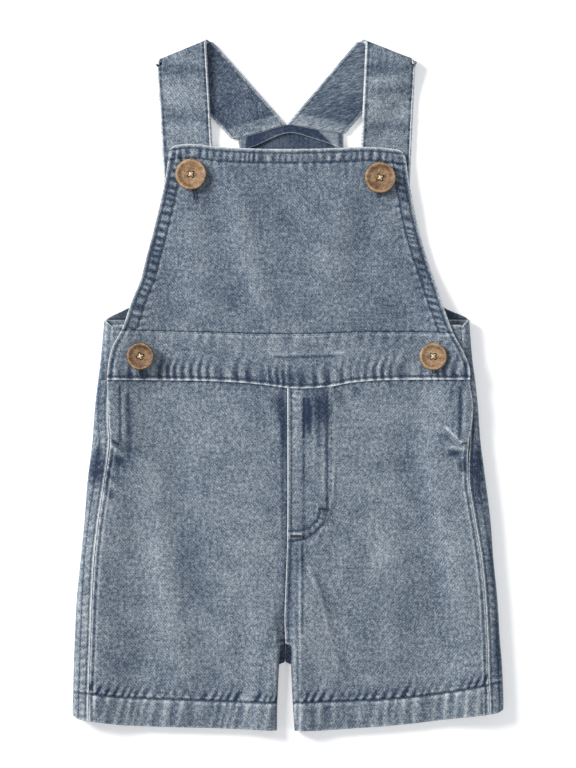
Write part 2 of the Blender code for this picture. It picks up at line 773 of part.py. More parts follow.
def strap_wall(name, middle, direction):
    """Thicken a strap both ways from its middle surface."""
    rows, columns = len(middle), len(middle[0])
    grid = []
    for i in range(rows):
        line = []
        for j in range(columns):
            across = middle[i][min(j + 1, columns - 1)] - middle[i][max(j - 1, 0)]
            down = middle[min(i + 1, rows - 1)][j] - middle[max(i - 1, 0)][j]
            line.append(middle[i][j] + across.cross(down).normalized() * direction * STRAP_WALL / 2)
        grid.append(line)
    wall(name, grid, STRAP_WALL, DENIM, section=False, flip=direction > 0)


# Buttons: turned wood with a rim, a dished middle and four thread holes

def buttons():
    for button in BUTTONS:
        radius, thick = button.radius, button.thick
        under = [front_top(button.x, button.y)]
        for n in range(12):
            turn = n * math.pi / 6
            under.append(front_top(button.x + radius * BUTTON_REST * math.cos(turn),
                                   button.y + radius * BUTTON_REST * math.sin(turn)))
        band = WAIST_WAVE_DEPTH + WAIST_PROUD if "side" in button.name else 0.0
        seat = max(under) + GAP + band + BUTTON_CLEAR
        profile = [(radius * turned.radius, thick * turned.height) for turned in BUTTON_PROFILE]
        mesh = bmesh.new()
        chain = [mesh.verts.new((r * MM, 0.0, z * MM)) for r, z in profile]
        edges = [mesh.edges.new(pair) for pair in zip(chain, chain[1:])]
        bmesh.ops.spin(mesh, geom=chain + edges, axis=(0.0, 0.0, 1.0), cent=(0.0, 0.0, 0.0),
                       angle=2 * math.pi, steps=24, use_merge=True)
        bmesh.ops.remove_doubles(mesh, verts=mesh.verts, dist=0.00001)
        bmesh.ops.recalc_face_normals(mesh, faces=mesh.faces)
        bmesh.ops.translate(mesh, verts=mesh.verts, vec=Vector((button.x, button.y, seat)) * MM)
        disc = add(button.name, mesh, WOOD, roughness=0.45)
        for n in range(4):
            turn = math.radians(45.0 + 90.0 * n)
            place = Vector((button.x + BUTTON_HOLE_SPREAD * math.cos(turn),
                            button.y + BUTTON_HOLE_SPREAD * math.sin(turn), seat + thick / 2)) * MM
            drill_mesh = bmesh.new()
            bmesh.ops.create_cone(drill_mesh, cap_ends=True, segments=8, radius1=BUTTON_HOLE * MM,
                                  radius2=BUTTON_HOLE * MM, depth=3 * thick * MM,
                                  matrix=Matrix.Translation(place))
            drill = add("drill_" + button.name + str(n), drill_mesh, WOOD)
            drill.hide_render = True
            drill.display_type = "WIRE"
            cut = disc.modifiers.new("hole" + str(n), "BOOLEAN")
            cut.operation = "DIFFERENCE"
            cut.object = drill


def main():
    for thing in list(bpy.data.objects):
        bpy.data.objects.remove(thing)
    leg_panels()
    hems()
    waistband()
    bib()
    fly()
    back_waistband()
    back_bib()
    back_facing()
    underlaps()
    straps()
    buttons()


main()
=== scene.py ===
# Toddler's denim shortalls, laid flat on a pale surface and seen from straight above.
# The hem points to -Y and the straps to +Y. Lengths in this script are millimetres
# until a mesh is finished, and the wearer's right is -X.

import math

import bmesh
import bpy
import numpy as np
from mathutils import Matrix, Vector
from mathutils.bvhtree import BVHTree


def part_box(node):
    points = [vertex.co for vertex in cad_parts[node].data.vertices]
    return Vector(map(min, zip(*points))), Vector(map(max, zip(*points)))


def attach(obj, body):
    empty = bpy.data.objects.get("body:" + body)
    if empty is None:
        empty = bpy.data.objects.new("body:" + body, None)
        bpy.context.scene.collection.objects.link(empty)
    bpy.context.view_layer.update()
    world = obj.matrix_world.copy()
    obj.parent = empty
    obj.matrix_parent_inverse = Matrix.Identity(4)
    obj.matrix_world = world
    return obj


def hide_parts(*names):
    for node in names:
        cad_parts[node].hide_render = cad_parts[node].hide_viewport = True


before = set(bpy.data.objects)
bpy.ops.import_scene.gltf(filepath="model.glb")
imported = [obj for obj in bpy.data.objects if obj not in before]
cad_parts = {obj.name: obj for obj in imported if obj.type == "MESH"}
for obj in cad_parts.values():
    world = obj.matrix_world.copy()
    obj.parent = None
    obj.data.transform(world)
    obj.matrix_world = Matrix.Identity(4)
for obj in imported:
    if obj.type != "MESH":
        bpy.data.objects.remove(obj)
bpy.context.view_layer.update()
MM = 0.001


# Surface, light and camera
# A pale matt sheet under a big soft window to the upper left, a fill from the right, and a
# long lens straight above, as for a catalogue picture of a garment laid flat.

FRAME_HEIGHT = 499.2
CAMERA_DISTANCE = 2000.0
SENSOR = 36.0
FRAME_CENTRE_Y = 0.3

camera_data = bpy.data.cameras.new("camera_above")
camera_data.sensor_width = SENSOR
camera_data.lens = SENSOR * CAMERA_DISTANCE / FRAME_HEIGHT
camera_data.clip_end = 20.0
camera = bpy.data.objects.new("camera_above", camera_data)
camera.location = (0.0, FRAME_CENTRE_Y * MM, CAMERA_DISTANCE * MM)
bpy.context.collection.objects.link(camera)
bpy.context.scene.camera = camera

world = bpy.data.worlds.new("studio")
world.use_nodes = True
world.node_tree.nodes["Background"].inputs["Color"].default_value = (0.93, 0.96, 1.0, 1.0)
world.node_tree.nodes["Background"].inputs["Strength"].default_value = 0.42
bpy.context.scene.world = world
bpy.context.scene.view_settings.view_transform = "Standard"


def window(name, place, energy, size, colour):
    """A square soft light that faces the garment."""
    data = bpy.data.lights.new(name, "AREA")
    data.energy = energy
    data.size = size
    data.color = colour
    light = bpy.data.objects.new(name, data)
    light.location = place
    light.rotation_mode = "QUATERNION"
    light.rotation_quaternion = (-Vector(place)).to_track_quat("-Z", "Y")
    bpy.context.collection.objects.link(light)


window("window_left", (-1.5, 0.9, 0.95), 60.0, 0.7, (1.0, 0.985, 0.96))
window("fill_right", (1.4, -0.5, 1.3), 8.0, 1.2, (0.95, 0.97, 1.0))

def put(name, mesh, finish=None):
    """An object at the origin, made of a bmesh, which is freed."""
    data = bpy.data.meshes.new(name)
    mesh.to_mesh(data)
    mesh.free()
    if finish is not None:
        data.shade_smooth()
        data.materials.append(finish)
    made = bpy.data.objects.new(name, data)
    bpy.context.collection.objects.link(made)
    return made


floor_mesh = bmesh.new()
bmesh.ops.create_grid(floor_mesh, x_segments=1, y_segments=1, size=3.0)
bmesh.ops.translate(floor_mesh, verts=floor_mesh.verts, vec=(0.0, 0.0, -0.0004))
floor = put("pale_surface", floor_mesh)
floor_paint = bpy.data.materials.new("pale_surface")
floor_paint.use_nodes = True
floor_shader = floor_paint.node_tree.nodes["Principled BSDF"]
floor_shader.inputs["Base Color"].default_value = (0.95, 0.95, 0.95, 1.0)
floor_shader.inputs["Roughness"].default_value = 0.95
floor_shader.inputs["Emission Color"].default_value = (1.0, 1.0, 1.0, 1.0)
floor_shader.inputs["Emission Strength"].default_value = 0.25
floor.data.materials.append(floor_paint)


# Front legs
# Two panels of washed denim, sewn to the waistband above and to each other down the centre
# seam, their hems turned up and stitched. The mock fly is cut in one with the wearer's left
# one and stitched through in a J.

# The cloth is a stone-washed indigo twill: dark blue warp over pale weft in steep ribs, rubbed
# pale on every ridge and left dark in every valley. Each cloth carries two attributes, tone
# (how rubbed it is, with painted shade and highlights in places) and dye_and_shade (where the
# wash never reached, with painted shade in places), and a UV map in metres.


class Socket:
    """A shader value that can be added to, multiplied and so on with Python's operators."""

    def __init__(self, tree, link):
        self.tree = tree
        self.link = link

    def node(self, kind, settings=None, output=0, **values):
        """Any node: its settings first, then the values or links of its sockets by name."""
        made = self.tree.nodes.new(kind)
        for key, setting in (settings or {}).items():
            if key == "stops":
                ramp = made.color_ramp
                for n, (position, colour) in enumerate(setting):
                    stop = ramp.elements[n] if n < 2 else ramp.elements.new(position)
                    stop.position = position
                    stop.color = (*colour, 1.0)
            else:
                setattr(made, key, setting)
        for key, value in values.items():
            place = made.inputs[int(key[1:])] if key[1:].isdigit() else made.inputs[key.replace("_", " ")]
            if isinstance(value, Socket):
                self.tree.links.new(value.link, place)
            else:
                place.default_value = value
        return Socket(self.tree, made.outputs[output])

    def maths(self, operation, *others):
        values = {"i" + str(n): value for n, value in enumerate((self, *others))}
        return self.node("ShaderNodeMath", {"operation": operation}, **values)

    def __add__(self, other):
        return self.maths("ADD", other)

    def __mul__(self, other):
        return self.maths("MULTIPLY", other)

    def __sub__(self, other):
        return self.maths("SUBTRACT", other)

    def __rsub__(self, other):
        return (self * -1.0) + other

    __radd__ = __add__
    __rmul__ = __mul__

    def clamp(self):
        return self.node("ShaderNodeClamp", i0=self)

    def noise(self, scale, detail=2.0, roughness=0.55, stretch=(1.0, 1.0, 1.0), turn=0.0, seed=0.0):
        """Noise from 0 to 1 over these coordinates, stretched and turned."""
        mapped = self.node("ShaderNodeMapping", i0=self, i1=(seed, seed * 0.37, 0.0),
                           i2=(0.0, 0.0, turn), i3=stretch)
        return self.node("ShaderNodeTexNoise", {"noise_dimensions": "2D"}, Vector=mapped,
                         Scale=scale, Detail=detail, Roughness=roughness)

    def ramp(self, *stops):
        """A colour from this value, by stops of position and colour."""
        return self.node("ShaderNodeValToRGB", {"stops": stops}, i0=self)


def new_finish(name):
    """A material whose shader is ready, and a first socket to build its maths from."""
    material = bpy.data.materials.new(name)
    material.use_nodes = True
    tree = material.node_tree
    shader = tree.nodes["Principled BSDF"]
    return material, shader, Socket(tree, None)


def attribute(start, name):
    return start.node("ShaderNodeAttribute", {"attribute_name": name}, output=2)


INDIGO = (0.018, 0.030, 0.062)
MID_BLUE = (0.088, 0.116, 0.154)
WASHED = (0.200, 0.238, 0.283)
PALE = (0.58, 0.61, 0.63)
TWILL_PITCH = 0.0015
TWILL_ACROSS = (0.77, 0.64)


def denim(name, level, contrast=1.0, roughness=0.92):
    """Washed denim: level is its mean paleness from 0 to 1."""
    material, shader, start = new_finish(name)
    cloth = start.node("ShaderNodeUVMap", {"uv_map": "cloth"})
    tone = attribute(start, "tone")
    dye_and_shade = attribute(start, "dye_and_shade")
    speckle = cloth.noise(430.0, 5.0, 0.86, seed=0.4)
    pepper = cloth.noise(1150.0, 2.0, 0.8, seed=8.3)
    slub = cloth.noise(520.0, 2.0, 0.6, (1.0, 0.14, 1.0), seed=7.7)
    weft = cloth.noise(450.0, 2.0, 0.6, (0.16, 1.0, 1.0), seed=1.3)
    cloud = cloth.noise(70.0, 3.0, 0.6, seed=5.1)
    drift = cloth.noise(22.0, 2.0, 0.5, seed=2.9)
    x = cloth.node("ShaderNodeSeparateXYZ", i0=cloth)
    y = cloth.node("ShaderNodeSeparateXYZ", output=1, i0=cloth)
    turns = 2.0 * math.pi / TWILL_PITCH
    phase = x * (TWILL_ACROSS[0] * turns) + y * (TWILL_ACROSS[1] * turns) + speckle * 9.0
    twill = phase.maths("SINE")
    grain = (speckle - 0.5) * 1.35 + (pepper - 0.5) * 0.8 + twill * 0.06
    grain = grain + (slub - 0.5) * 0.16 + (weft - 0.5) * 0.12
    wash = (cloud - 0.5) * 0.26 + (drift - 0.5) * 0.22
    # Unwashed indigo darkens the colour here, and in places painted shade does too.
    dyed_and_shaded = (dye_and_shade * (cloud * 1.2 + 0.4)).clamp()
    value = (tone * 0.5 + level + wash + grain * contrast - dyed_and_shaded * 0.42).clamp()
    colour = value.ramp((0.0, INDIGO), (1.0, PALE), (0.3, MID_BLUE), (0.52, WASHED))
    links = material.node_tree.links
    links.new(colour.link, shader.inputs["Base Color"])
    shader.inputs["Roughness"].default_value = roughness
    shader.inputs["Specular IOR Level"].default_value = 0.2
    bump = start.node("ShaderNodeBump", None, Strength=0.3, Distance=0.0002,
                      Height=twill * 0.2 + pepper + speckle)
    links.new(bump.link, shader.inputs["Normal"])
    return material


front_denim = denim("washed_denim", 0.43)


# The garment's layout: outlines, seams and folds as short tables, and the height of the
# front's upper face. All work on whole arrays of points at once.

CLOTH = 1.2
HEM_WALL = 2.0
GAP = 0.3
LAYER = CLOTH + GAP
SIDE_ROLL = 4.2
INNER_ROLL = 3.2
REST_TOP = 3.5
ROLL_TOP = 2 * SIDE_ROLL
LAP_TOP = ROLL_TOP + LAYER
INNER_TOP = 2 * INNER_ROLL
LOWEST_TOP = 2 * CLOTH + GAP + 0.05
HEM_LOWEST_TOP = 2 * HEM_WALL + GAP
WRAP_TOP = 42.0
CROTCH_FRONT = -167.0
VALLEY_TOP = -128.0
LEG_TOP = 3.0
LEG_FOOT = -200.0

# y, left outline, right outline, widths of the back's wrap, insets of the front's edge
SIDES = [
    (46.0, -118.8, 117.2, 5.4, 5.4, 6.3, 4.1),
    (16.0, -121.6, 119.6, 7.6, 6.0, 6.3, 4.1),
    (3.0, -123.2, 121.4, 7.9, 6.0, 6.3, 4.1),
    (-13.0, -125.1, 123.1, 8.6, 6.0, 8.8, 3.4),
    (-26.0, -126.1, 124.0, 9.8, 6.2, 10.2, 4.9),
    (-37.0, -126.9, 124.9, 11.3, 7.2, 11.9, 7.8),
    (-62.0, -130.0, 128.1, 11.2, 11.0, 11.5, 11.3),
    (-88.0, -132.0, 131.3, 9.4, 10.3, 9.7, 10.6),
    (-114.0, -134.6, 133.3, 9.1, 8.0, 9.4, 8.3),
    (-140.0, -137.1, 135.9, 10.2, 8.1, 10.5, 8.4),
    (-166.0, -138.4, 137.4, 10.5, 8.3, 10.8, 8.6),
    (-192.0, -139.2, 139.0, 10.4, 9.2, 10.7, 9.5),
    (-212.0, -139.7, 139.7, 10.4, 9.2, 10.7, 9.5),
    (-226.0, -139.7, 139.7, 10.4, 9.2, 10.7, 9.5),
]
# y, centre seam, and the inner edges of the two legs
MIDDLE = [
    (4.0, -0.3, -3.3, 2.7),
    (-94.0, -0.3, -3.3, 2.7),
    (-128.0, -1.4, -4.6, 2.0),
    (-153.0, -2.2, -5.2, 1.6),
    (-167.0, -1.6, -4.8, 2.2),
    (-179.0, -1.9, -5.8, 2.0),
    (-192.0, -1.9, -6.5, 2.6),
    (-205.0, -1.9, -7.1, 3.3),
    (-226.0, -1.9, -7.2, 4.6),
]
# Across the garment: x, y
WAIST_FOOT = [(-125.0, 3.0), (-60.0, 2.4), (-33.0, 1.3), (-15.0, -0.4), (4.0, -2.6),
              (27.0, -1.5), (42.0, 1.2), (64.0, 2.8), (125.0, 3.1)]
HEM_STITCH = [(-140.0, -198.8), (-128.0, -200.4), (-108.0, -202.7), (-69.0, -204.4),
              (-8.0, -206.3), (24.0, -205.7), (63.0, -204.2), (83.0, -202.4), (102.0, -199.7),
              (122.0, -196.3), (140.0, -192.4)]
HEM_FOOT = [(-140.0, -213.8), (-136.0, -216.7), (-124.0, -218.7), (-108.0, -220.7),
            (-88.0, -221.8), (-49.0, -222.8), (-9.0, -224.3), (8.0, -224.6), (24.0, -224.2),
            (44.0, -222.9), (63.0, -221.6), (83.0, -219.6), (102.0, -217.2), (122.0, -214.8),
            (135.0, -212.9), (140.0, -210.6)]
# Soft folds: a bowed line's two ends, its bow, its half width, and its height
FOLDS = [
    (-91.0, -22.0, -66.0, -205.0, -3.6, 10.0, 1.7),
    (-74.0, -30.0, -44.0, -205.0, -3.4, 9.0, -1.3),
    (-30.0, -60.0, -24.0, -190.0, 2.0, 12.0, 0.7),
    (72.0, -14.0, 106.0, -176.0, -3.0, 9.0, -1.3),
    (88.0, -14.0, 121.0, -170.0, -2.6, 9.0, 1.4),
    (10.0, -122.0, 31.0, -203.0, 1.6, 6.5, 1.3),
    (26.0, -130.0, 46.0, -203.0, 1.0, 6.0, -1.0),
    (60.0, -90.0, 72.0, -190.0, 2.0, 13.0, 0.8),
    (-55.0, 146.0, -24.0, 40.0, -4.0, 8.0, -1.0),
    (-39.0, 148.0, -8.0, 38.0, -4.0, 8.5, 1.2),
    (-67.0, 118.0, -48.0, 40.0, -1.5, 8.0, 0.9),
    (36.0, 132.0, 26.0, 50.0, -1.5, 9.0, 0.9),
    (51.0, 126.0, 42.0, 56.0, -1.0, 8.0, -0.8),
]


def smooth(low, high, value):
    """0 below low, 1 above high, and an S-curve between."""
    t = np.clip((value - low) / (high - low), 0.0, 1.0)
    return t * t * (3.0 - 2.0 * t)


def along(table, value, column=1):
    """A column of a table at values of its first column, on a smooth curve through the rows."""
    rows = np.array(sorted(table), float)
    keys, numbers = rows[:, 0], rows[:, column]
    slopes = np.gradient(numbers, keys)
    slopes[1:-1] = (numbers[2:] - numbers[:-2]) / (keys[2:] - keys[:-2])
    value = np.clip(np.asarray(value, float), keys[0], keys[-1])
    i = np.clip(np.searchsorted(keys, value) - 1, 0, len(keys) - 2)
    span = keys[i + 1] - keys[i]
    t = (value - keys[i]) / span
    start, end = slopes[i] * span, slopes[i + 1] * span
    change = numbers[i + 1] - numbers[i]
    return (numbers[i] + start * t + (3 * change - 2 * start - end) * t * t
            + (start + end - 2 * change) * t ** 3)


LEFT, RIGHT = -1.0, 1.0
COLUMN = {LEFT: 0, RIGHT: 1}


def outline(side, y):
    return along(SIDES, y, 1 + COLUMN[side])


def wrap_seam(side, y):
    return outline(side, y) - side * along(SIDES, y, 3 + COLUMN[side])


def front_edge(side, y):
    return outline(side, y) - side * along(SIDES, y, 5 + COLUMN[side])


def centre_seam(y):
    return along(MIDDLE, y, 1)


def inner_edge(side, y):
    return along(MIDDLE, y, 2 + COLUMN[side])


def fold_lift(x, y):
    total = np.zeros_like(x)
    for x0, y0, x1, y1, bow, width, height in FOLDS:
        dx, dy = x1 - x0, y1 - y0
        length = math.hypot(dx, dy)
        t = ((x - x0) * dx + (y - y0) * dy) / length ** 2
        across = ((x - x0) * dy - (y - y0) * dx) / length
        reach = np.clip(t, 0.0, 1.0)
        across = across + bow * 4.0 * reach * (1.0 - reach)
        beyond = (t - reach) * length
        fade = smooth(-0.05, 0.25, t) * smooth(-0.05, 0.2, 1.0 - t)
        total += height * np.exp(-(across ** 2 + beyond ** 2) / width ** 2) * fade
    return total


def front_top(x, y):
    """Height of the front's upper face, from the bib to the hems."""
    x, y = np.broadcast_arrays(np.asarray(x, float), np.asarray(y, float))
    on_left = x < centre_seam(y)
    from_seam = np.where(on_left, x - wrap_seam(LEFT, y), wrap_seam(RIGHT, y) - x)
    lap = LAP_TOP + (ROLL_TOP - LAP_TOP) * (1.0 - smooth(-46.0, -37.0, y))
    side_rise = (lap - REST_TOP) * (1.0 - smooth(0.0, 38.0, from_seam))
    side_rise = side_rise * (1.0 - smooth(WRAP_TOP, 2 * WRAP_TOP, y))
    from_edge = np.abs(x - np.where(on_left, inner_edge(LEFT, y), inner_edge(RIGHT, y)))
    below = 1.0 - smooth(CROTCH_FRONT, VALLEY_TOP + 10.0, y)
    inner_rise = (INNER_TOP - REST_TOP) * (1.0 - smooth(0.0, 24.0, from_edge - INNER_ROLL)) * below
    over_strap = smooth(92.0, 118.0, y)
    hem_rise = 1.0 - smooth(0.0, 22.0, y - along(HEM_STITCH, x))
    lowest = LOWEST_TOP + (HEM_LOWEST_TOP - LOWEST_TOP) * hem_rise + 1.45 * over_strap
    away = smooth(0.0, 12.0, from_seam) * smooth(-1.0, 5.0, from_edge)
    top = REST_TOP + side_rise + inner_rise + over_strap
    top = top + (1.2 * hem_rise + fold_lift(x, y)) * away
    above = top - lowest
    rested = lowest + 0.5 * (above + np.sqrt(above ** 2 + 0.3))
    top = top + (rested - top) * away
    depth = 1.0 - smooth(CROTCH_FRONT, VALLEY_TOP, y)
    flat = 1.4 * depth
    reach = np.clip((np.abs(x - centre_seam(y)) - flat) / 5.2, 0.0, 1.0)
    valley = depth * (1.0 - reach * reach * (3.0 - 2.0 * reach))
    return np.where(y > CROTCH_FRONT, top - (top - LOWEST_TOP) * valley, top)


# Every cloth is a fine grid laid by a function of its own two directions, u and v. Rows of
# stitches draw the cloth into short puckers, pale on top and dark between.


def wander(s, step, seed):
    """A smooth random line from -1 to 1 that changes about every step."""
    random = np.random.default_rng(seed)
    low, high = float(np.min(s)) - step, float(np.max(s)) + 2 * step
    knots = np.arange(low, high + step, step)
    values = random.uniform(-1.0, 1.0, len(knots))
    i = np.clip(((s - low) / step).astype(int), 0, len(knots) - 2)
    t = (s - low) / step - i
    t = t * t * (3.0 - 2.0 * t)
    return values[i] * (1.0 - t) + values[i + 1] * t


def puckers(s, period, seed):
    """Uneven gathers along a row of stitches: ridges and hollows from -1 to 1."""
    drift = s + wander(s, period * 2.6, seed) * period * 0.75
    size = 0.6 + 0.4 * wander(s, period * 1.5, seed + 1)
    return np.sin(2.0 * math.pi * drift / period) * size


def band(distance, width):
    """1 on a line and 0 away from it."""
    return np.exp(-(distance / width) ** 2)


def ticks(s, period, seed):
    """Narrow pale ridges with wider dark hollows, from about -0.35 to 1."""
    return 1.35 * (0.5 + 0.5 * puckers(s, period, seed)) ** 2 - 0.35


def spot(x, y, x0, y0, half_x, half_y):
    return np.exp(-((x - x0) / half_x) ** 2 - ((y - y0) / half_y) ** 2)


def path_gap(x, y, points):
    """Distance from a line of points, and how far along it the nearest place is."""
    nearest, place, run = np.full_like(x, 1e6), np.zeros_like(x), 0.0
    for (x0, y0), (x1, y1) in zip(points, points[1:]):
        length = math.hypot(x1 - x0, y1 - y0)
        t = np.clip(((x - x0) * (x1 - x0) + (y - y0) * (y1 - y0)) / length ** 2, 0.0, 1.0)
        gap = np.hypot(x - x0 - t * (x1 - x0), y - y0 - t * (y1 - y0))
        place = np.where(gap < nearest, run + t * length, place)
        nearest = np.minimum(gap, nearest)
        run += length
    return nearest, place


def gather(share, *spots):
    """Draw a grid's lines together round some places: centre, width, and how much closer."""
    steps = np.linspace(0.0, 1.0, 800)
    density = np.ones_like(steps)
    for centre, width, closer in spots:
        density += closer * np.exp(-((steps - centre) / width) ** 4)
    total = np.concatenate([[0.0], np.cumsum((density[1:] + density[:-1]) / 2)])
    return np.interp(share, total / total[-1], steps)


faces_from_above = []


def shell(name, columns, rows, lay, finish, thick, out, hem=None):
    """A grid of cloth laid by lay(u, v), which gives its outer points, their tone and dye_and_shade.

    out is +1 where the grid's columns, rows and outer side are right-handed, or -1.
    hem(u, v) from 0 to 1 says where the cloth is doubled.
    """
    mesh = bmesh.new()
    bmesh.ops.create_grid(mesh, x_segments=columns, y_segments=rows, size=0.5)
    flat = np.array([vertex.co for vertex in mesh.verts])
    u, v = flat[:, 0] + 0.5, 0.5 - flat[:, 1]
    points, tone, dye_and_shade = lay(u, v)
    for vertex, point in zip(mesh.verts, points * MM):
        vertex.co = point
    if out < 0:
        bmesh.ops.reverse_faces(mesh, faces=mesh.faces)
    faces_from_above.append(BVHTree.FromBMesh(mesh))
    piece = put(name, mesh, finish)
    data = piece.data
    order = np.lexsort((np.round(u, 6), np.round(v, 6)))
    width = columns + 1
    lined = points[order].reshape(-1, width, 3)
    steps = np.linalg.norm(np.diff(lined, axis=1), axis=2)
    run = np.zeros(lined.shape[:2])
    run[:, 1:] = np.cumsum(steps, axis=1)
    run -= run[:, width // 2:width // 2 + 1]
    across = np.empty(len(points))
    across[order] = (run + lined[:, width // 2:width // 2 + 1, 0]).ravel()
    corner = np.empty(len(data.loops), np.int32)
    data.loops.foreach_get("vertex_index", corner)
    layer = data.uv_layers.new(name="cloth")
    place = np.stack([across, points[:, 1]], axis=1) * MM
    layer.data.foreach_set("uv", place[corner].ravel())
    for key, values in (("tone", tone), ("dye_and_shade", dye_and_shade)):
        field = data.attributes.new(key, "FLOAT", "POINT")
        field.data.foreach_set("value", np.asarray(values, np.float32))
    wall = piece.modifiers.new("wall", "SOLIDIFY")
    wall.thickness = thick * MM
    wall.offset = -1.0
    if hem is not None:
        group = piece.vertex_groups.new(name="doubled")
        weights = np.clip(hem(u, v), 0.0, 1.0)
        for n, weight in enumerate(weights):
            group.add([n], float(weight), "REPLACE")
        wall.vertex_group = "doubled"
        wall.thickness_vertex_group = CLOTH / HEM_WALL
    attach(piece, "root")
    return piece


def arc_xz(x, direction, radius, angle):
    """Points on a roll that touches the surface, at angles in degrees."""
    a = np.radians(angle)
    return x + direction * radius * np.cos(a), radius + radius * np.sin(a)


def leg_y(x, y, waist_seam):
    waist = (waist_seam - LEG_TOP) * smooth(-40.0, LEG_TOP, y)
    stitch = along(HEM_STITCH, x)
    return y + waist + (stitch - LEG_FOOT) * (1.0 - smooth(LEG_FOOT, -150.0, y))


HEM_SHARE = 0.085


def down_leg(v):
    """Nominal height of a row: down the panel, and then down the hem."""
    panel = np.clip(v / (1.0 - HEM_SHARE), 0.0, 1.0)
    turned = np.clip((v - 1.0 + HEM_SHARE) / HEM_SHARE, 0.0, 1.0)
    return LEG_TOP + (LEG_FOOT - LEG_TOP) * panel - 20.0 * turned, turned


def leg_place(x, y, turned, waist_seam):
    """The true height of a row, on to the waist seam, the stitch line and the hem's foot."""
    panel = leg_y(x, np.maximum(y, LEG_FOOT), waist_seam)
    foot = along(HEM_FOOT, x)
    return np.where(turned > 0.0, along(HEM_STITCH, x) * (1.0 - turned) + foot * turned, panel)


FLY_WIDTH = 30.8
FLY_STRAIGHT_END = -74.0
FLY_END = -100.0
FLY_ROWS = 25.4
HEM_PERIOD = 7.6
J_OUTER = [(FLY_ROWS, -3.0), (FLY_ROWS, -74.0), (26.0, -81.6), (22.8, -90.7), (18.2, -95.2),
           (11.7, -99.8), (1.3, -101.7)]
J_INNER = [(20.8, -82.9), (18.9, -88.1), (14.3, -92.6), (9.1, -94.6), (0.7, -95.2)]
J_BETWEEN = [(23.0, -83.0), (20.5, -89.5), (16.2, -94.0), (10.4, -97.2), (1.0, -98.4)]
J_EDGE = [(30.6, -4.0), (30.2, -55.6), (28.4, -75.0), (24.4, -88.0), (18.5, -100.5), (14.0, -104.5)]

# Creases and rubbed ridges by side: their line, half width, tone and height. A dark tone is painted shade in
# a crease or a stitched groove; a pale one is a rubbed ridge.
CREASES = {
    LEFT: [
        ([(-108.8, -1.0), (-108.6, -37.0)], 0.9, -0.55, -0.2),
        ([(-106.0, -6.0), (-106.0, -34.0)], 1.4, 0.22, 0.2),
        ([(-103.2, -6.8), (-102.6, -42.6)], 1.6, -0.5, -0.3),
        ([(-114.0, -36.2), (-110.0, -38.6)], 0.8, -0.8, -0.3),
        ([(-115.2, -39.3), (-105.0, -47.8)], 1.0, 0.75, 0.5),
        ([(-118.0, -52.3), (-113.0, -57.3)], 0.9, 0.65, 0.3),
        ([(-117.5, -60.0), (-112.0, -68.0)], 1.2, 0.35, 0.2),
        ([(-98.0, -46.0), (-84.0, -60.0)], 2.4, 0.12, 0.2),
        ([(-6.0, -150.0), (-15.0, -172.0), (-19.0, -196.0)], 2.2, -0.16, -0.3),
    ],
    RIGHT: [
        ([(111.6, -2.3), (111.2, -36.0)], 1.1, -0.6, -0.3),
        ([(115.0, -4.0), (114.6, -30.0)], 1.4, 0.25, 0.2),
        ([(106.0, -4.0), (105.0, -14.0)], 1.2, -0.3, -0.2),
        ([(102.7, -28.3), (110.2, -35.4), (114.0, -38.9)], 1.0, 0.75, 0.5),
        ([(105.0, -41.0), (113.5, -41.6)], 1.1, 0.5, 0.3),
        ([(108.5, -49.5), (110.0, -56.5), (114.0, -57.5)], 1.2, 0.4, 0.3),
        ([(10.4, -4.2), (10.4, -34.0)], 0.8, -0.95, -0.4),
        ([(10.4, -34.0), (10.2, -100.0)], 0.9, -0.4, -0.25),
        ([(9.6, -103.0), (9.2, -160.0)], 0.8, -0.5, -0.3),
        ([(13.7, -5.0), (13.9, -30.0)], 0.9, -0.35, -0.2),
        ([(16.6, -8.0), (17.0, -60.0)], 1.1, 0.2, 0.15),
        ([(20.2, -4.0), (20.4, -40.0)], 1.0, -0.3, -0.2),
        ([(23.0, -26.0), (22.9, -70.0)], 0.9, 0.22, 0.15),
        (J_OUTER[:2], 0.8, -0.6, -0.3),
        (J_OUTER[1:], 0.8, -0.75, -0.3),
        (J_INNER, 0.8, -0.7, -0.3),
        (J_EDGE, 1.0, 0.42, 0.3),
        ([(19.3, -80.6), (26.2, -80.6)], 0.8, 0.8, 0.4),
        ([(1.6, -97.0), (9.0, -97.0)], 0.8, 0.7, 0.3),
        ([(1.6, -99.8), (9.0, -99.8)], 0.7, 0.6, 0.3),
        ([(14.0, -119.0), (22.0, -142.0), (32.0, -180.0)], 1.6, 0.22, 0.3),
        ([(18.0, -122.0), (27.0, -148.0)], 1.3, -0.2, -0.2),
        ([(26.0, -126.0), (36.0, -150.0), (42.0, -178.0)], 1.5, 0.16, 0.2),
    ],
}
# Places the wash never reached by side, and on the left side by the centre seam a painted shadow beside the
# fly: x, y, half width, half height, strength
UNWASHED_AND_SHADOW = {
    LEFT: [(-109.2, -49.3, 4.8, 4.0, 1.0), (-116.4, -57.6, 3.6, 6.0, 1.0), (-109.5, -62.0, 4.0, 5.0, 0.35),
           (-114.5, -71.0, 3.0, 3.4, 0.6), (-98.0, -44.0, 10.0, 4.0, 0.3), (-4.6, -12.0, 2.6, 11.0, 1.1),
           (-3.2, -28.0, 1.9, 12.0, 1.0), (-9.0, -8.0, 3.0, 5.0, 0.5), (-3.4, -60.0, 1.2, 60.0, 0.5)],
    RIGHT: [(107.3, -44.8, 4.2, 2.6, 0.95), (112.8, -53.2, 3.2, 4.4, 1.1), (101.0, -33.7, 4.5, 3.4, 0.5),
            (12.5, -16.0, 2.6, 13.0, 1.0), (19.0, -14.0, 7.5, 15.0, 0.75), (24.0, -12.0, 3.0, 10.0, 0.55),
            (33.5, -6.0, 3.2, 4.0, 0.6), (44.0, -3.0, 3.0, 3.4, 0.6), (8.0, -112.0, 2.4, 11.0, 0.4),
            (0.8, -135.0, 2.4, 26.0, 0.5), (20.0, -98.5, 3.0, 2.4, 0.4)],
}


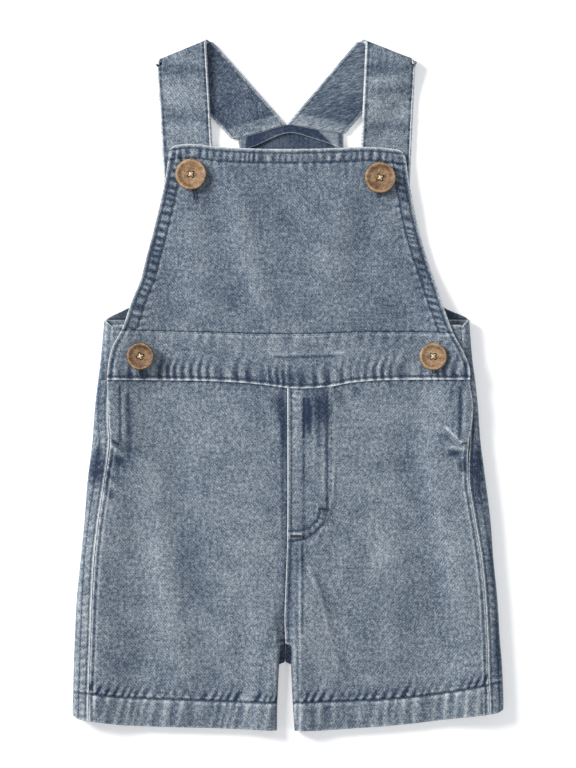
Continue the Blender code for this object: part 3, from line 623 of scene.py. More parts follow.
thread_finish, thread_shader, thread_start = new_finish("indigo_thread")
thread_grain = thread_start.node("ShaderNodeTexCoord", output=3).noise(2600.0, 1.0)
thread_colour = thread_grain.ramp((0.3, (0.016, 0.026, 0.05)), (0.75, (0.09, 0.12, 0.17)))
thread_finish.node_tree.links.new(thread_colour.link, thread_shader.inputs["Base Color"])
thread_shader.inputs["Roughness"].default_value = 0.75


def stitch_row(name, x, y, length=2.3, gap=0.65, width=0.5, lift=0.06, finish=thread_finish):
    """A row of sewn stitches along a line, each one laid on the cloth that is uppermost there."""
    steps = np.hypot(np.diff(x), np.diff(y))
    run = np.concatenate([[0.0], np.cumsum(steps)])
    count = max(int(run[-1] / (length + gap)), 1)
    pitch = run[-1] / count
    mesh = bmesh.new()
    for n in range(count):
        ends = []
        for place in (n * pitch + gap / 2, (n + 1) * pitch - gap / 2):
            over = Vector((np.interp(place, run, x), np.interp(place, run, y), 50.0)) * MM
            hits = [tree.ray_cast(over, Vector((0.0, 0.0, -1.0)))[0] for tree in faces_from_above]
            top = max((hit.z for hit in hits if hit), default=0.0)
            ends.append(Vector((over.x, over.y, top + lift * MM)))
        reach = ends[1] - ends[0]
        turned = reach.to_track_quat("X", "Z").to_matrix().to_4x4()
        place = Matrix.Translation((ends[0] + ends[1]) / 2) @ turned
        size = Matrix.Diagonal((reach.length / 2, width / 2 * MM, 0.4 * width * MM, 1.0))
        bmesh.ops.create_uvsphere(mesh, u_segments=6, v_segments=5, radius=1.0,
                                  matrix=place @ size @ Matrix.Rotation(math.pi / 2, 4, "Y"))
    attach(put(name, mesh, finish), "root")


def between_points(points, count=60):
    """Even places along a line of points."""
    corners = np.array(points, float)
    run = np.concatenate([[0.0], np.cumsum(np.hypot(*np.diff(corners, axis=0).T))])
    places = np.linspace(0.0, run[-1], count)
    return np.interp(places, run, corners[:, 0]), np.interp(places, run, corners[:, 1])


def bar_tack(name, start, end, width):
    """A dense bar of short stitches across a line, which takes the strain at a seam's end."""
    x, y = between_points([start, end])
    stitch_row(name, x, y, length=0.42, gap=0.05, width=width, lift=0.15)


def front_relief(side, x, y, true_y):
    """Height, tone and dye_and_shade of a front leg: what the sewing and the wash give it, with painted shade
    and highlights in places.
    """
    seed = 10 if side < 0 else 40
    waist_gap = np.maximum(along(WAIST_FOOT, x) - true_y, 0.0)
    stitch_gap = true_y - along(HEM_STITCH, x)
    foot_gap = true_y - along(HEM_FOOT, x)
    edge_gap = np.abs(x - front_edge(side, y))
    in_hem = 1.0 - smooth(-1.4, 0.2, stitch_gap)
    above = smooth(-0.4, 1.0, stitch_gap)
    lean = 0.24 if side < 0 else 0.1
    slant = x - lean * stitch_gap
    roping = ticks(slant, HEM_PERIOD, seed + 3) + 0.3 * puckers(slant + 0.3 * stitch_gap, 13.0, seed + 4)
    roping = roping * (0.65 + 0.35 * smooth(-16.0, 0.0, stitch_gap))
    blotch = ticks(x - 0.5 * stitch_gap, 5.9, seed + 5)
    near_hem = above * np.exp(-(np.maximum(stitch_gap, 0.0) / 6.2) ** 2)
    drawn = puckers(x + 0.9 * stitch_gap * np.sign(puckers(x, 22.0, seed + 6)), 4.2, seed + 8)
    gathers = ticks(x + 0.1 * waist_gap, 5.8, seed)
    near_waist = np.exp(-waist_gap / 4.6)
    below = 1.0 - smooth(-46.0, -38.0, y)
    side_pull = ticks(y + 0.7 * edge_gap, 8.0, seed + 7) * band(edge_gap, 5.0) * below
    height = 0.24 * gathers * near_waist + in_hem * (0.22 + 0.42 * roping) + 0.14 * side_pull
    height = height + near_hem * (0.3 * blotch + 0.14 * drawn) - 0.42 * band(stitch_gap, 0.8)
    height = height + 0.28 * band(stitch_gap - 1.9, 0.9)
    tone = 0.5 * (gathers - 0.35) * near_waist + in_hem * (0.6 * roping - 0.03)
    tone = tone + near_hem * (0.62 * blotch - 0.2 + 0.26 * drawn) - 0.75 * band(stitch_gap + 0.1, 0.6)
    tone = tone + 0.34 * band(stitch_gap - 1.7, 0.7) * above + 0.26 * band(stitch_gap + 2.0, 0.9)
    # Paler on the soft folds' ridges and darker in their troughs: partly wear, partly painted shade.
    tone = tone + 0.42 * band(foot_gap, 0.9) + 0.3 * side_pull + 0.09 * fold_lift(x, y)
    tone = tone + 0.85 * band(edge_gap, 0.8) - 0.5 * band(edge_gap - 2.0, 0.8) * below
    tone = tone + 0.5 * band(edge_gap - 3.4, 0.7) * below - 0.35 * band(waist_gap - 0.6, 0.6)
    dye_and_shade = np.zeros_like(x)
    # Painted shade in the creases and grooves, rubbed paleness on the ridges.
    for points, width, shade, lift in CREASES[side]:
        near = band(path_gap(x, y, points)[0], width)
        tone = tone + shade * near
        height = height + lift * near
    # Unwashed spots. On the left side, the spots by the centre seam are painted shadow.
    for x0, y0, half_x, half_y, strength in UNWASHED_AND_SHADOW[side]:
        dye_and_shade = dye_and_shade + strength * spot(x, y, x0, y0, half_x, half_y)
    dye_and_shade = dye_and_shade + 2.6 * near_hem * smooth(0.0, 0.35, -blotch) * (0.5 + 0.5 * wander(x, 26.0, seed + 9))
    return height, tone, dye_and_shade


def fly_relief(x, y):
    """The mock fly on the wearer's left front: its own layer, its gathers and its J of stitches."""
    lip = band(x - centre_seam(y), 1.0)
    inside = (1.0 - smooth(-1.2, 0.6, x - fly_edge(y))) * smooth(FLY_END - 1.5, FLY_END + 1.5, y)
    strong = 0.3 + 0.7 * smooth(-40.0, -32.0, y)
    bars = ticks(y + 0.2 * x, 4.55, 71) * band(x - 5.8, 3.5) * smooth(FLY_END, -92.0, y) * strong
    beside = ticks(y, 4.0, 73) * band(x - 28.0, 1.5) * smooth(-76.0, -70.0, y)
    gap, place = path_gap(x, y, J_BETWEEN)
    quilted = ticks(place, 4.4, 75) * band(gap, 2.0)
    seam_stitch = band(x - centre_seam(y) - 2.3, 0.7)
    low = 1.0 - smooth(-104.0, -101.0, y)
    felled = band(x - 7.9, 0.9) * low - 0.5 * band(x - 6.0, 0.8) * low
    height = 0.5 * inside + 0.5 * lip + 0.22 * bars + 0.16 * beside + 0.25 * quilted + 0.2 * felled
    tone = 1.1 * lip + 0.6 * bars + 0.12 * band(x - 5.6, 3.4) * strong + 0.35 * beside
    tone = tone + 0.6 * quilted - 0.4 * seam_stitch + 0.4 * felled
    return height, tone


def fly_edge(y):
    """The J's outer line."""
    below = np.clip((FLY_STRAIGHT_END - y) / (FLY_STRAIGHT_END - FLY_END), 0.0, 1.0)
    return centre_seam(y) + FLY_WIDTH * np.sqrt(1.0 - below ** 2)


def front_leg(side, wearer):
    flat_share = 0.93
    inner = 0.985
    close = [(0.0, 0.07, 0.9), (inner, 0.27 if side > 0 else 0.06, 1.0)]
    rows_close = [(0.0, 0.06, 0.6), (0.24, 0.24, 0.35 if side > 0 else 0.0), (0.95, 0.065, 1.3)]

    def lay(u, v):
        y, turned = down_leg(gather(v, *rows_close))
        u = gather(u, *close)
        knee = inner_edge(side, y) + side * INNER_ROLL
        start = front_edge(side, y)
        rest = np.clip((u - flat_share) / (1.0 - flat_share), 0.0, 1.0)
        on_roll = u > flat_share
        end = centre_seam(y) + side * 0.05
        flat_x = np.where(on_roll, knee + (end - knee) * rest, start + (knee - start) * u / flat_share)
        angle = 90.0 - 120.0 * rest
        roll_x, roll_z = arc_xz(knee, -side, INNER_ROLL, angle)
        open_leg = np.where(on_roll, 1.0 - smooth(CROTCH_FRONT - 1.4, CROTCH_FRONT + 0.6, y), 0.0)
        x = flat_x * (1.0 - open_leg) + roll_x * open_leg
        z = front_top(flat_x, y) * (1.0 - open_leg) + roll_z * open_leg
        true_y = leg_place(x, y, turned, along(WAIST_FOOT, x))
        height, tone, dye_and_shade = front_relief(side, x, y, true_y)
        if side > 0:
            fly_height, fly_tone = fly_relief(x, y)
            height, tone = height + fly_height, tone + fly_tone
        else:
            # Painted shadow along the centre seam, beside the fly's raised edge.
            tone = tone - 0.7 * band(x - centre_seam(y), 1.5)
        # Painted shade where the inner roll turns under below the crotch, and a pale band near its crest.
        tone = tone - 0.5 * open_leg * smooth(0.3, 0.8, rest) + 0.3 * open_leg * band(rest - 0.1, 0.25)
        crotch = band(x - centre_seam(y), 5.0) * band(true_y - CROTCH_FRONT - 1.0, 1.0)
        tone = tone - 0.6 * crotch
        tone = tone + 0.4 * band(x - centre_seam(y), 5.0) * band(true_y - CROTCH_FRONT - 3.0, 1.0)
        height = height * (1.0 - smooth(0.0, 0.8, rest) * open_leg)
        x = x - side * height * np.cos(np.radians(angle)) * open_leg
        z = z + height
        return np.stack([x, true_y, z], axis=1), tone, dye_and_shade

    def doubled(u, v):
        return (gather(v, *rows_close) > 1.0 - HEM_SHARE).astype(float)

    piece = shell("front_leg_cloth_" + wearer, 160 if side > 0 else 142, 282 if side > 0 else 250,
                  lay, front_denim, HEM_WALL, -side, hem=doubled)
    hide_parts("front_leg_" + wearer, "front_hem_" + wearer, *(["fly"] if side > 0 else []))


front_leg(LEFT, "right")
front_leg(RIGHT, "left")
down = np.linspace(-3.5, -164.0, 120)
stitch_row("centre_stitches", centre_seam(down) + 2.3, down, width=0.4)
stitch_row("fly_stitches", *between_points(J_OUTER, 160), width=0.6)
stitch_row("fly_foot_stitches", *between_points(J_INNER, 60), width=0.6)
stitch_row("fly_edge_stitches", *between_points([(27.9, -4.0), (27.9, -73.0)]), width=0.4)
bar_tack("fly_tack", (19.4, -80.6), (26.2, -80.6), 2.3)
bar_tack("crotch_tack", (1.4, -98.3), (8.8, -98.3), 2.0)
for side, wearer, start, end in ((LEFT, "right", -127.0, -8.5), (RIGHT, "left", 6.5, 128.5)):
    across = np.linspace(start, end, 80)
    stitch_row("hem_stitches_" + wearer, across, along(HEM_STITCH, across), width=0.65)
    down = np.linspace(-1.0, -36.0, 30)
    stitch_row("opening_stitches_" + wearer, front_edge(side, down) - side * 7.3, down, width=0.4)


# Back legs
# Two panels of the same denim that lie on the surface, wrap round the side and come up on to
# the front, where the side seam joins them to the front legs under two rows of stitches.

CROTCH_BACK = -177.6
# Unwashed places by side: x, y, half width, half height, strength
STRIP_UNWASHED = {
    LEFT: [(-124.6, -55.0, 6.0, 8.0, 1.5), (-123.0, -44.0, 3.0, 5.0, 0.7), (-122.5, -8.0, 5.0, 22.0, 0.62),
           (-134.0, -110.0, 3.0, 16.0, 0.3), (-137.0, -160.0, 2.6, 14.0, 0.35)],
    RIGHT: [(120.6, -50.0, 5.0, 9.5, 1.6), (123.0, -68.0, 5.0, 12.0, 0.8), (119.0, -26.0, 4.0, 14.0, 0.45),
            (131.0, -120.0, 3.4, 24.0, 0.4), (135.5, -172.0, 3.0, 26.0, 0.7)],
}
# Painted light on the side strips: both paler, the left one more than the right, as lit from the left.
STRIP_PAINTED_LIGHT = {LEFT: 0.2, RIGHT: 0.06}


def strip_detail(side, from_seam, x, y, true_y, up):
    """What shows of the side seam's topstitched strip: height, tone and dye."""
    seed = 60 if side < 0 else 80
    pull = ticks(y + 0.3 * from_seam, 5.2, seed) * band(from_seam - 4.1, 2.3)
    outer_pull = puckers(y, 7.5, seed + 5) * smooth(6.4, 8.0, from_seam)
    rows = band(from_seam - 1.9, 0.6) + band(from_seam - 6.4, 0.6)
    stitch_gap = true_y - along(HEM_STITCH, x)
    hem = band(stitch_gap, 0.8)
    height = up * (0.2 * pull + 0.15 * outer_pull - 0.2 * rows + 0.25 * band(from_seam, 1.0) - 0.3 * hem)
    tone = 0.42 * pull + 0.22 * outer_pull - 0.42 * rows + 1.0 * band(from_seam - 0.2, 0.6)
    # The side's painted light is added here.
    tone = tone + STRIP_PAINTED_LIGHT[side] - 0.6 * hem + 0.3 * band(stitch_gap - 1.8, 0.7)
    tone = up * tone + 0.45 * band(true_y - along(HEM_FOOT, x), 0.9)
    dye_and_shade = np.zeros_like(x)
    for x0, y0, half_x, half_y, strength in STRIP_UNWASHED[side]:
        dye_and_shade = dye_and_shade + strength * spot(x, y, x0, y0, half_x, half_y)
    return height, tone, dye_and_shade * smooth(1.0, 5.0, up * 6.0)


def back_leg(side, wearer):
    parts = (0.2, 0.46, 0.88)
    rows_close = [(0.25, 0.09, 0.4), (0.95, 0.07, 0.6)]

    def lay(u, v):
        y, turned = down_leg(gather(v, *rows_close))
        roll = outline(side, y) - side * SIDE_ROLL
        seam = wrap_seam(side, y)
        knee = inner_edge(side, y) + side * INNER_ROLL
        bend = np.clip((u - parts[0]) / (parts[1] - parts[0]), 0.0, 1.0)
        bed = np.clip((u - parts[1]) / (parts[2] - parts[1]), 0.0, 1.0)
        rest = np.clip((u - parts[2]) / (1.0 - parts[2]), 0.0, 1.0)
        x = seam + (roll - seam) * u / parts[0]
        z = np.full_like(x, ROLL_TOP)
        bend_x, bend_z = arc_xz(roll, side, SIDE_ROLL, 90.0 - 180.0 * bend)
        x, z = np.where(u > parts[0], bend_x, x), np.where(u > parts[0], bend_z, z)
        x, z = np.where(u > parts[1], roll + (knee - roll) * bed, x), np.where(u > parts[1], 0.0, z)
        end = centre_seam(y) + side * 0.05
        roll_x, roll_z = arc_xz(knee, -side, INNER_ROLL, -90.0 + 50.0 * rest)
        open_leg = 1.0 - smooth(CROTCH_BACK - 1.0, CROTCH_BACK + 1.0, y)
        flat_x = knee + (end - knee) * rest
        x = np.where(u > parts[2], flat_x + (roll_x - flat_x) * open_leg, x)
        z = np.where(u > parts[2], roll_z * open_leg, z)
        true_y = leg_place(x, y, turned, LEG_TOP)
        up = smooth(5.0, 8.0, z)
        height, tone, dye_and_shade = strip_detail(side, np.abs(x - seam), x, y, true_y, up)
        # Painted shade at the crotch, where the back legs lie under the front, darkening both tone and
        # dye_and_shade.
        crotch = smooth(parts[2] - 0.08, parts[2], u) * band(true_y - CROTCH_BACK, 9.0)
        return np.stack([x, true_y, z + height], axis=1), tone - 0.35 * crotch, dye_and_shade + 0.5 * crotch

    def doubled(u, v):
        return (gather(v, *rows_close) > 1.0 - HEM_SHARE).astype(float)

    piece = shell("back_leg_cloth_" + wearer, 90, 226, lay, front_denim, HEM_WALL, side, hem=doubled)
    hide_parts("back_leg_" + wearer, "back_hem_" + wearer)
    down = np.linspace(-42.0, -212.0, 120)
    for n, depth in enumerate((1.9, 6.4)):
        stitch_row("side_stitches_%s_%d" % (wearer, n + 1), wrap_seam(side, down) + side * depth, down,
                   width=0.42)
    across = np.linspace(wrap_seam(side, -205.0), outline(side, -205.0) - side * 2.4, 12)
    stitch_row("side_hem_stitches_" + wearer, across, along(HEM_STITCH, across), width=0.6)


back_leg(LEFT, "right")
back_leg(RIGHT, "left")
bar_tack("opening_tack_right", (-113.6, -36.6), (-110.0, -38.4), 1.5)
bar_tack("opening_tack_left", (112.2, -38.4), (115.6, -37.6), 1.5)


# Waistband
# One straight band of washed denim, sewn to the bib above and the legs below and drawn up by
# both seams. Its ends stay open over the side extensions and button on to them.

WAISTBAND_TOP = 34.0
WAISTBAND_HEIGHT = 32.0
WAIST_CREASE = 17.6
# y, left edge, right edge of the bib and the waistband
BIB_EDGES = [
    (-4.0, -117.2, 117.6), (3.0, -117.1, 117.7), (8.0, -116.7, 117.8), (16.0, -115.6, 115.8),
    (24.0, -113.2, 112.2), (32.0, -108.6, 107.8), (40.0, -105.3, 104.5), (54.0, -101.2, 99.4),
    (68.0, -95.7, 95.0), (81.0, -92.4, 90.4), (94.0, -88.8, 86.5), (107.0, -85.6, 83.2),
    (120.0, -82.4, 80.7), (133.0, -79.7, 78.4), (143.0, -78.1, 77.3), (158.0, -76.6, 74.6),
]
# The seam between them: x, y
WAIST_TOP = [(-120.0, 35.6), (-60.0, 34.2), (0.0, 32.8), (62.0, 34.4), (120.0, 33.0)]


def waistband_lay(u, v):
    v = gather(v, (1.0, 0.25, 0.8))
    u = gather(u, (0.0, 0.04, 0.8), (1.0, 0.04, 0.8))
    level = WAISTBAND_TOP - WAISTBAND_HEIGHT * v
    left, right = along(BIB_EDGES, level, 1), along(BIB_EDGES, level, 2)
    x = left + (right - left) * u
    top, foot = along(WAIST_TOP, x) - 0.05, along(WAIST_FOOT, x) + 0.05
    y = top + (foot - top) * v
    up_gap, down_gap = top - y, y - foot
    end_gap = np.minimum(x - left, right - x)
    low = ticks(x - 0.14 * down_gap + 1.2 * puckers(y, 17.0, 27), 6.6, 21) * band(down_gap - 3.0, 10.5)
    high = puckers(x + 0.2 * up_gap, 7.6, 24) * band(up_gap, 9.0)
    crease_y = WAIST_CREASE + 0.02 * x
    crease = band(y - crease_y, 0.9) * smooth(-12.0, 2.0, x) * (1.0 - smooth(28.0, 38.0, x))
    streaks = puckers(x, 3.1, 28) * band(down_gap - 6.0, 5.0)
    height = 0.32 + 0.34 * low + 0.16 * high - 0.4 * crease + 0.3 * band(down_gap, 0.7)
    height = height + 0.15 * band(end_gap, 1.2) - 0.15 * band(down_gap - 2.2, 0.7)
    # Painted shade in the crease across the waistband, and a painted highlight on its lower lip.
    tone = 0.62 * low + 0.3 * high + 0.14 * streaks - 0.6 * crease
    tone = tone + 0.25 * band(y - crease_y - 2.2, 1.2) * (crease > 0)
    tone = tone - 0.45 * band(up_gap, 0.6) + 0.35 * band(up_gap - 1.4, 0.8) + 1.0 * band(down_gap - 0.3, 0.6)
    tone = tone - 0.65 * band(down_gap - 2.3, 0.7) + 0.9 * band(end_gap, 0.9) - 0.5 * band(end_gap - 2.6, 0.8)
    tone = tone + 0.3 * band(end_gap - 4.2, 0.9) - 0.05
    dye_and_shade = 0.8 * np.clip(-low, 0.0, 1.0) * 2.0 + 0.5 * spot(x, y, 0.0, 4.0, 14.0, 4.0)
    dye_and_shade = dye_and_shade + 0.4 * spot(x, y, -103.0, 5.0, 6.0, 4.0) + 0.5 * spot(x, y, 106.0, 5.0, 6.0, 3.0)
    return np.stack([x, y, front_top(x, y) + height], axis=1), tone, dye_and_shade


waistband = shell("waistband_cloth", 300, 52, waistband_lay, front_denim, CLOTH, 1)
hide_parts("waistband")
across = np.linspace(-114.5, 115.0, 160)
stitch_row("waist_stitches", across, along(WAIST_FOOT, across) + 2.3, width=0.5)
for side, wearer in ((LEFT, "right"), (RIGHT, "left")):
    up = np.linspace(6.0, 31.0, 30)
    edge = along(BIB_EDGES, up, 1 + COLUMN[side])
    stitch_row("waist_end_stitches_" + wearer, edge - side * 2.8, up, width=0.4)


# Bib
# One panel of washed denim, hemmed at the top and down both sides with two rows of stitches
# and sewn to the waistband. Its rounded upper corners button over the straps.

# The top edge: x, y
BIB_TOP = [(-80.0, 154.0), (-64.0, 156.0), (-44.0, 154.0), (-14.0, 152.8), (14.0, 152.8),
           (36.0, 153.5), (56.0, 154.0), (78.0, 151.4)]
BIB_CORNER = 5.0
BIB_PEAK = 154.0
BIB_FOOT = 34.0
BIB_ROWS = (2.6, 8.8)


def hemmed(gap, along_edge, slope, seed):
    """A stitched hem by distance from its edge: height, tone and dye."""
    inside = ticks(along_edge + slope * gap, 4.5, seed) * band(gap - 5.7, 3.0)
    beyond = ticks(along_edge - slope * gap, 5.6, seed + 1) * smooth(8.0, 9.4, gap) * np.exp(
        -np.maximum(gap - 9.0, 0.0) / 3.6)
    rows = band(gap - BIB_ROWS[0], 0.65) + band(gap - BIB_ROWS[1], 0.7)
    height = 0.26 * inside + 0.22 * beyond - 0.25 * rows + 0.28 * (1.0 - smooth(8.8, 10.2, gap))
    tone = 0.55 * inside + 0.4 * beyond - 0.6 * rows + 1.0 * band(gap, 1.0) - 0.04
    tone = tone + 0.22 * band(gap - 10.4, 0.9)
    dye_and_shade = (1.5 * np.clip(-inside, 0.0, 1.0) + 1.2 * np.clip(-beyond, 0.0, 1.0))
    return height, tone, dye_and_shade


def bib_lay(u, v):
    u = gather(u, (0.0, 0.1, 0.8), (1.0, 0.1, 0.8))
    v = gather(v, (0.0, 0.14, 0.9), (1.0, 0.05, 0.4))
    level = BIB_FOOT + (BIB_PEAK - BIB_FOOT) * (1.0 - v)
    over = np.clip(level - (BIB_PEAK - BIB_CORNER), 0.0, BIB_CORNER)
    pulled = 0.8 * (BIB_CORNER - np.sqrt(np.maximum(BIB_CORNER ** 2 - over ** 2, 0.0)))
    left = along(BIB_EDGES, level, 1) + pulled
    right = along(BIB_EDGES, level, 2) - pulled
    x = left + (right - left) * u
    y = level + (along(BIB_TOP, x) - BIB_PEAK) * smooth(BIB_PEAK - 40.0, BIB_PEAK, level)
    y = y + (along(WAIST_TOP, x) - BIB_FOOT) * (1.0 - smooth(BIB_FOOT, 60.0, level))
    top_gap = along(BIB_TOP, x) - y
    left_gap, right_gap = x - left, right - x
    foot_gap = y - along(WAIST_TOP, x)
    # Paler on the soft folds' ridges and darker in their troughs: partly wear, partly painted shade.
    height, tone, dye_and_shade = np.full_like(x, -0.05), 0.09 * fold_lift(x, level), np.zeros_like(x)
    for gap, line, slope, seed in ((top_gap, x, 0.05, 31), (left_gap, y, 0.3, 33), (right_gap, y, -0.3, 35)):
        clear = 1.0 if seed == 31 else smooth(3.0, 9.0, top_gap)
        hem_height, hem_tone, hem_dye = hemmed(gap, line, slope, seed)
        height, tone, dye_and_shade = height + hem_height * clear, tone + hem_tone * clear, dye_and_shade + hem_dye * clear
    tone = tone + (1.0 - smooth(3.0, 9.0, top_gap)) * (band(left_gap, 1.0) + band(right_gap, 1.0))
    foot_pull = ticks(x, 8.4, 37) * np.exp(-foot_gap / 4.5)
    height = height + 0.12 * foot_pull
    tone = tone + 0.25 * foot_pull - 0.55 * band(foot_gap, 0.7)
    for x0, y0, half_x, half_y, strength in ((-88.0, 84.0, 5.0, 18.0, 0.35), (-76.0, 128.0, 4.0, 12.0, 0.4),
                                             (86.0, 86.0, 4.0, 20.0, 0.35), (76.0, 126.0, 4.0, 9.0, 0.5),
                                             (-60.0, 122.0, 5.0, 5.0, 0.25)):
        dye_and_shade = dye_and_shade + strength * spot(x, y, x0, y0, half_x, half_y)
    return np.stack([x, y, front_top(x, level) + height], axis=1), tone, dye_and_shade


bib = shell("bib_cloth", 250, 150, bib_lay, front_denim, CLOTH, 1)
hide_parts("bib")
for n, depth in enumerate(BIB_ROWS):
    across = np.linspace(-75.0 + depth, 73.0 - depth, 120)
    stitch_row("bib_top_stitches_%d" % (n + 1), across, along(BIB_TOP, across) - depth, width=0.55)
    for side, wearer in ((LEFT, "right"), (RIGHT, "left")):
        down = np.linspace(151.0 - depth, 36.0, 100)
        stitch_row("bib_side_stitches_%s_%d" % (wearer, n + 1),
                   along(BIB_EDGES, down, 1 + COLUMN[side]) - side * depth, down, width=0.5)
across = np.linspace(-104.0, 103.0, 120)
stitch_row("bib_foot_stitches", across, along(WAIST_TOP, across) - 1.2, width=0.32)


# Back waistband
# A band of washed denim that lies on the surface and wraps round both sides on to the front.
# It is sewn to the back legs below it and to the back bib above.

def back_waist_lay(u, v):
    y = WRAP_TOP - GAP + (LEG_TOP + 0.05 - WRAP_TOP + GAP) * v
    left, right = outline(LEFT, y) + SIDE_ROLL, outline(RIGHT, y) - SIDE_ROLL
    parts = (0.12, 0.28, 0.72, 0.88)
    seam_l, seam_r = wrap_seam(LEFT, y), wrap_seam(RIGHT, y)
    x = seam_l + (left - seam_l) * u / parts[0]
    z = np.full_like(x, ROLL_TOP)
    turn = np.clip((u - parts[0]) / (parts[1] - parts[0]), 0.0, 1.0)
    bend_x, bend_z = arc_xz(left, LEFT, SIDE_ROLL, 90.0 - 180.0 * turn)
    x, z = np.where(u > parts[0], bend_x, x), np.where(u > parts[0], bend_z, z)
    bed = (u - parts[1]) / (parts[2] - parts[1])
    x, z = np.where(u > parts[1], left + (right - left) * bed, x), np.where(u > parts[1], 0.0, z)
    turn = np.clip((u - parts[2]) / (parts[3] - parts[2]), 0.0, 1.0)
    bend_x, bend_z = arc_xz(right, RIGHT, SIDE_ROLL, -90.0 + 180.0 * turn)
    x, z = np.where(u > parts[2], bend_x, x), np.where(u > parts[2], bend_z, z)
    last = (u - parts[3]) / (1.0 - parts[3])
    x = np.where(u > parts[3], right + (seam_r - right) * last, x)
    z = np.where(u > parts[3], ROLL_TOP, z)
    near = np.minimum(np.abs(x - outline(LEFT, y)), np.abs(x - outline(RIGHT, y)))
    hollow = 0.75 * smooth(30.0, WRAP_TOP, y) * smooth(SIDE_ROLL, ROLL_TOP, z) * near
    up = smooth(5.0, 8.0, z)
    from_seam = np.minimum(np.abs(x - seam_l), np.abs(x - seam_r))
    pull = ticks(y, 5.6, 91) * up * band(from_seam - 3.0, 2.5)
    lines = ticks(x, 3.4, 93) * up
    rim = band(y - WRAP_TOP, 0.9)
    tone = up * (0.35 * pull + 0.3 * lines + 0.5 * band(from_seam, 0.7)) + 0.75 * rim * up + 0.06
    tone = tone - 0.3 * up * band(y - WRAP_TOP + 2.4, 0.7)
    dye_and_shade = up * (0.7 * spot(x, y, -121.5, 2.0, 7.0, 18.0) + 0.45 * spot(x, y, 119.0, 6.0, 6.0, 16.0))
    return np.stack([x, y - hollow, z + 0.2 * pull], axis=1), tone, dye_and_shade


back_waist = shell("back_waist_cloth", 230, 44, back_waist_lay, front_denim, CLOTH, -1)
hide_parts("back_waistband")


# Back bib
# The upper back, face down on the surface, so that the inside of its denim shows above the bib,
# its dark navy painted shade. It is sewn to the back waistband, and its armhole edges curve in to the neck
# seam.

# Denim made dark with painted shade, for the back's inside and its facing.
inside_denim = denim("inside_denim_painted_shade", 0.12, 0.55)
BACK_PEAK = 160.0
# y, left edge, right edge
BACK_EDGES = [
    (41.9, -118.6, 117.2), (44.0, -115.6, 115.0), (48.0, -107.2, 105.0), (52.0, -99.5, 98.0),
    (60.0, -86.0, 86.0), (72.0, -70.5, 71.5), (90.0, -53.0, 55.0), (110.0, -41.0, 43.5),
    (130.0, -34.0, 37.5), (148.0, -31.4, 36.2), (162.0, -33.2, 36.0),
]
# The neck seam: x, y
NECK_SEAM = [(-34.0, 159.2), (-17.0, 163.8), (0.0, 168.2), (18.0, 165.6), (37.0, 162.4)]


def neck_pale(x, y):
    """The washed hems at both sides of the neck."""
    right = smooth(-0.6, 0.8, x - 21.5 - (162.8 - y) * 1.02)
    left = smooth(-0.6, 0.8, -27.6 - x - (152.0 - y) * 0.1)
    return right * (0.9 - 0.7 * band(x - 33.5, 0.8)) + left * 0.7


def back_bib_lay(u, v):
    level = WRAP_TOP + (BACK_PEAK - WRAP_TOP) * (1.0 - gather(v, (0.0, 0.2, 1.5)))
    left, right = along(BACK_EDGES, level, 1), along(BACK_EDGES, level, 2)
    x = left + (right - left) * u
    y = level + (along(NECK_SEAM, x) - BACK_PEAK) * smooth(110.0, BACK_PEAK, level)
    side_gap = np.minimum(x - left, right - x)
    streaks = puckers(x, 2.6, 96) * smooth(130.0, 145.0, y)
    tone = 0.7 * band(side_gap, 0.9) + 0.4 * ticks(y, 4.5, 95) * band(side_gap - 3.0, 2.5)
    tone = tone + 0.1 * streaks + neck_pale(x, y) * smooth(130.0, 140.0, y) + 0.08
    return np.stack([x, y, np.zeros_like(x)], axis=1), tone, np.zeros_like(x)


back_bib = shell("back_bib_cloth", 110, 90, back_bib_lay, inside_denim, CLOTH, -1)
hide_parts("back_bib")


# Back facing
# A narrow strip of the same denim, made dark with painted shade, inside the top of the back bib,
# sewn in with the straps along the neck seam.

FACING_START = -31.0
FACING_WIDTH = 65.6
# Its lower edge: x, y
FACING_FOOT = [(-34.0, 149.5), (-21.0, 155.0), (0.0, 163.2), (18.0, 159.2), (37.0, 152.6)]


def facing_lay(u, v):
    x = FACING_START + FACING_WIDTH * u
    top, foot = along(NECK_SEAM, x) - 0.1, along(FACING_FOOT, x)
    y = top + (foot - top) * v
    # A painted shadow just under the neck seam, where the straps' ends lie over the facing.
    tone = 1.2 * band(y - foot, 0.5) - 0.12 + neck_pale(x, y) - 0.3 * band(top - y, 0.8)
    return np.stack([x, y, np.full_like(x, CLOTH + LAYER)], axis=1), tone, np.zeros_like(x)


facing = shell("facing_cloth", 100, 20, facing_lay, inside_denim, CLOTH, 1)
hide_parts("back_facing")


# Side extensions
# A tab of washed denim on each side of the back, sewn into the side seam under the open end
# of the waistband. The side button is sewn on to it.

EXTENSION_TOP = 38.6
EXTENSION_HEIGHT = 74.6
EXTENSION_REACH = 30.0


def underlap(side, wearer):
    def lay(u, v):
        y = EXTENSION_TOP - EXTENSION_HEIGHT * v
        start = wrap_seam(side, y) - side * 0.1
        x = start - side * EXTENSION_REACH * u
        down = EXTENSION_TOP - y
        tone = 0.7 * band(down, 0.8) - 0.3 * band(down - 2.4, 0.6)
        tone = tone + 0.4 * ticks(y, 4.0, 97) * np.exp(-u * 6.0)
        return np.stack([x, y, front_top(x, y) - LAYER], axis=1), tone, np.zeros_like(x)

    piece = shell("extension_cloth_" + wearer, 36, 80, lay, front_denim, CLOTH, -side)
    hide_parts("underlap_" + wearer)


underlap(LEFT, "right")
underlap(RIGHT, "left")


# Straps
# Each strap is a doubled strip of denim, stitched along both edges and sewn into the back neck
# seam on the slant. It folds over at the shoulder and runs down under the bib's corner, where
# the bib button holds it.

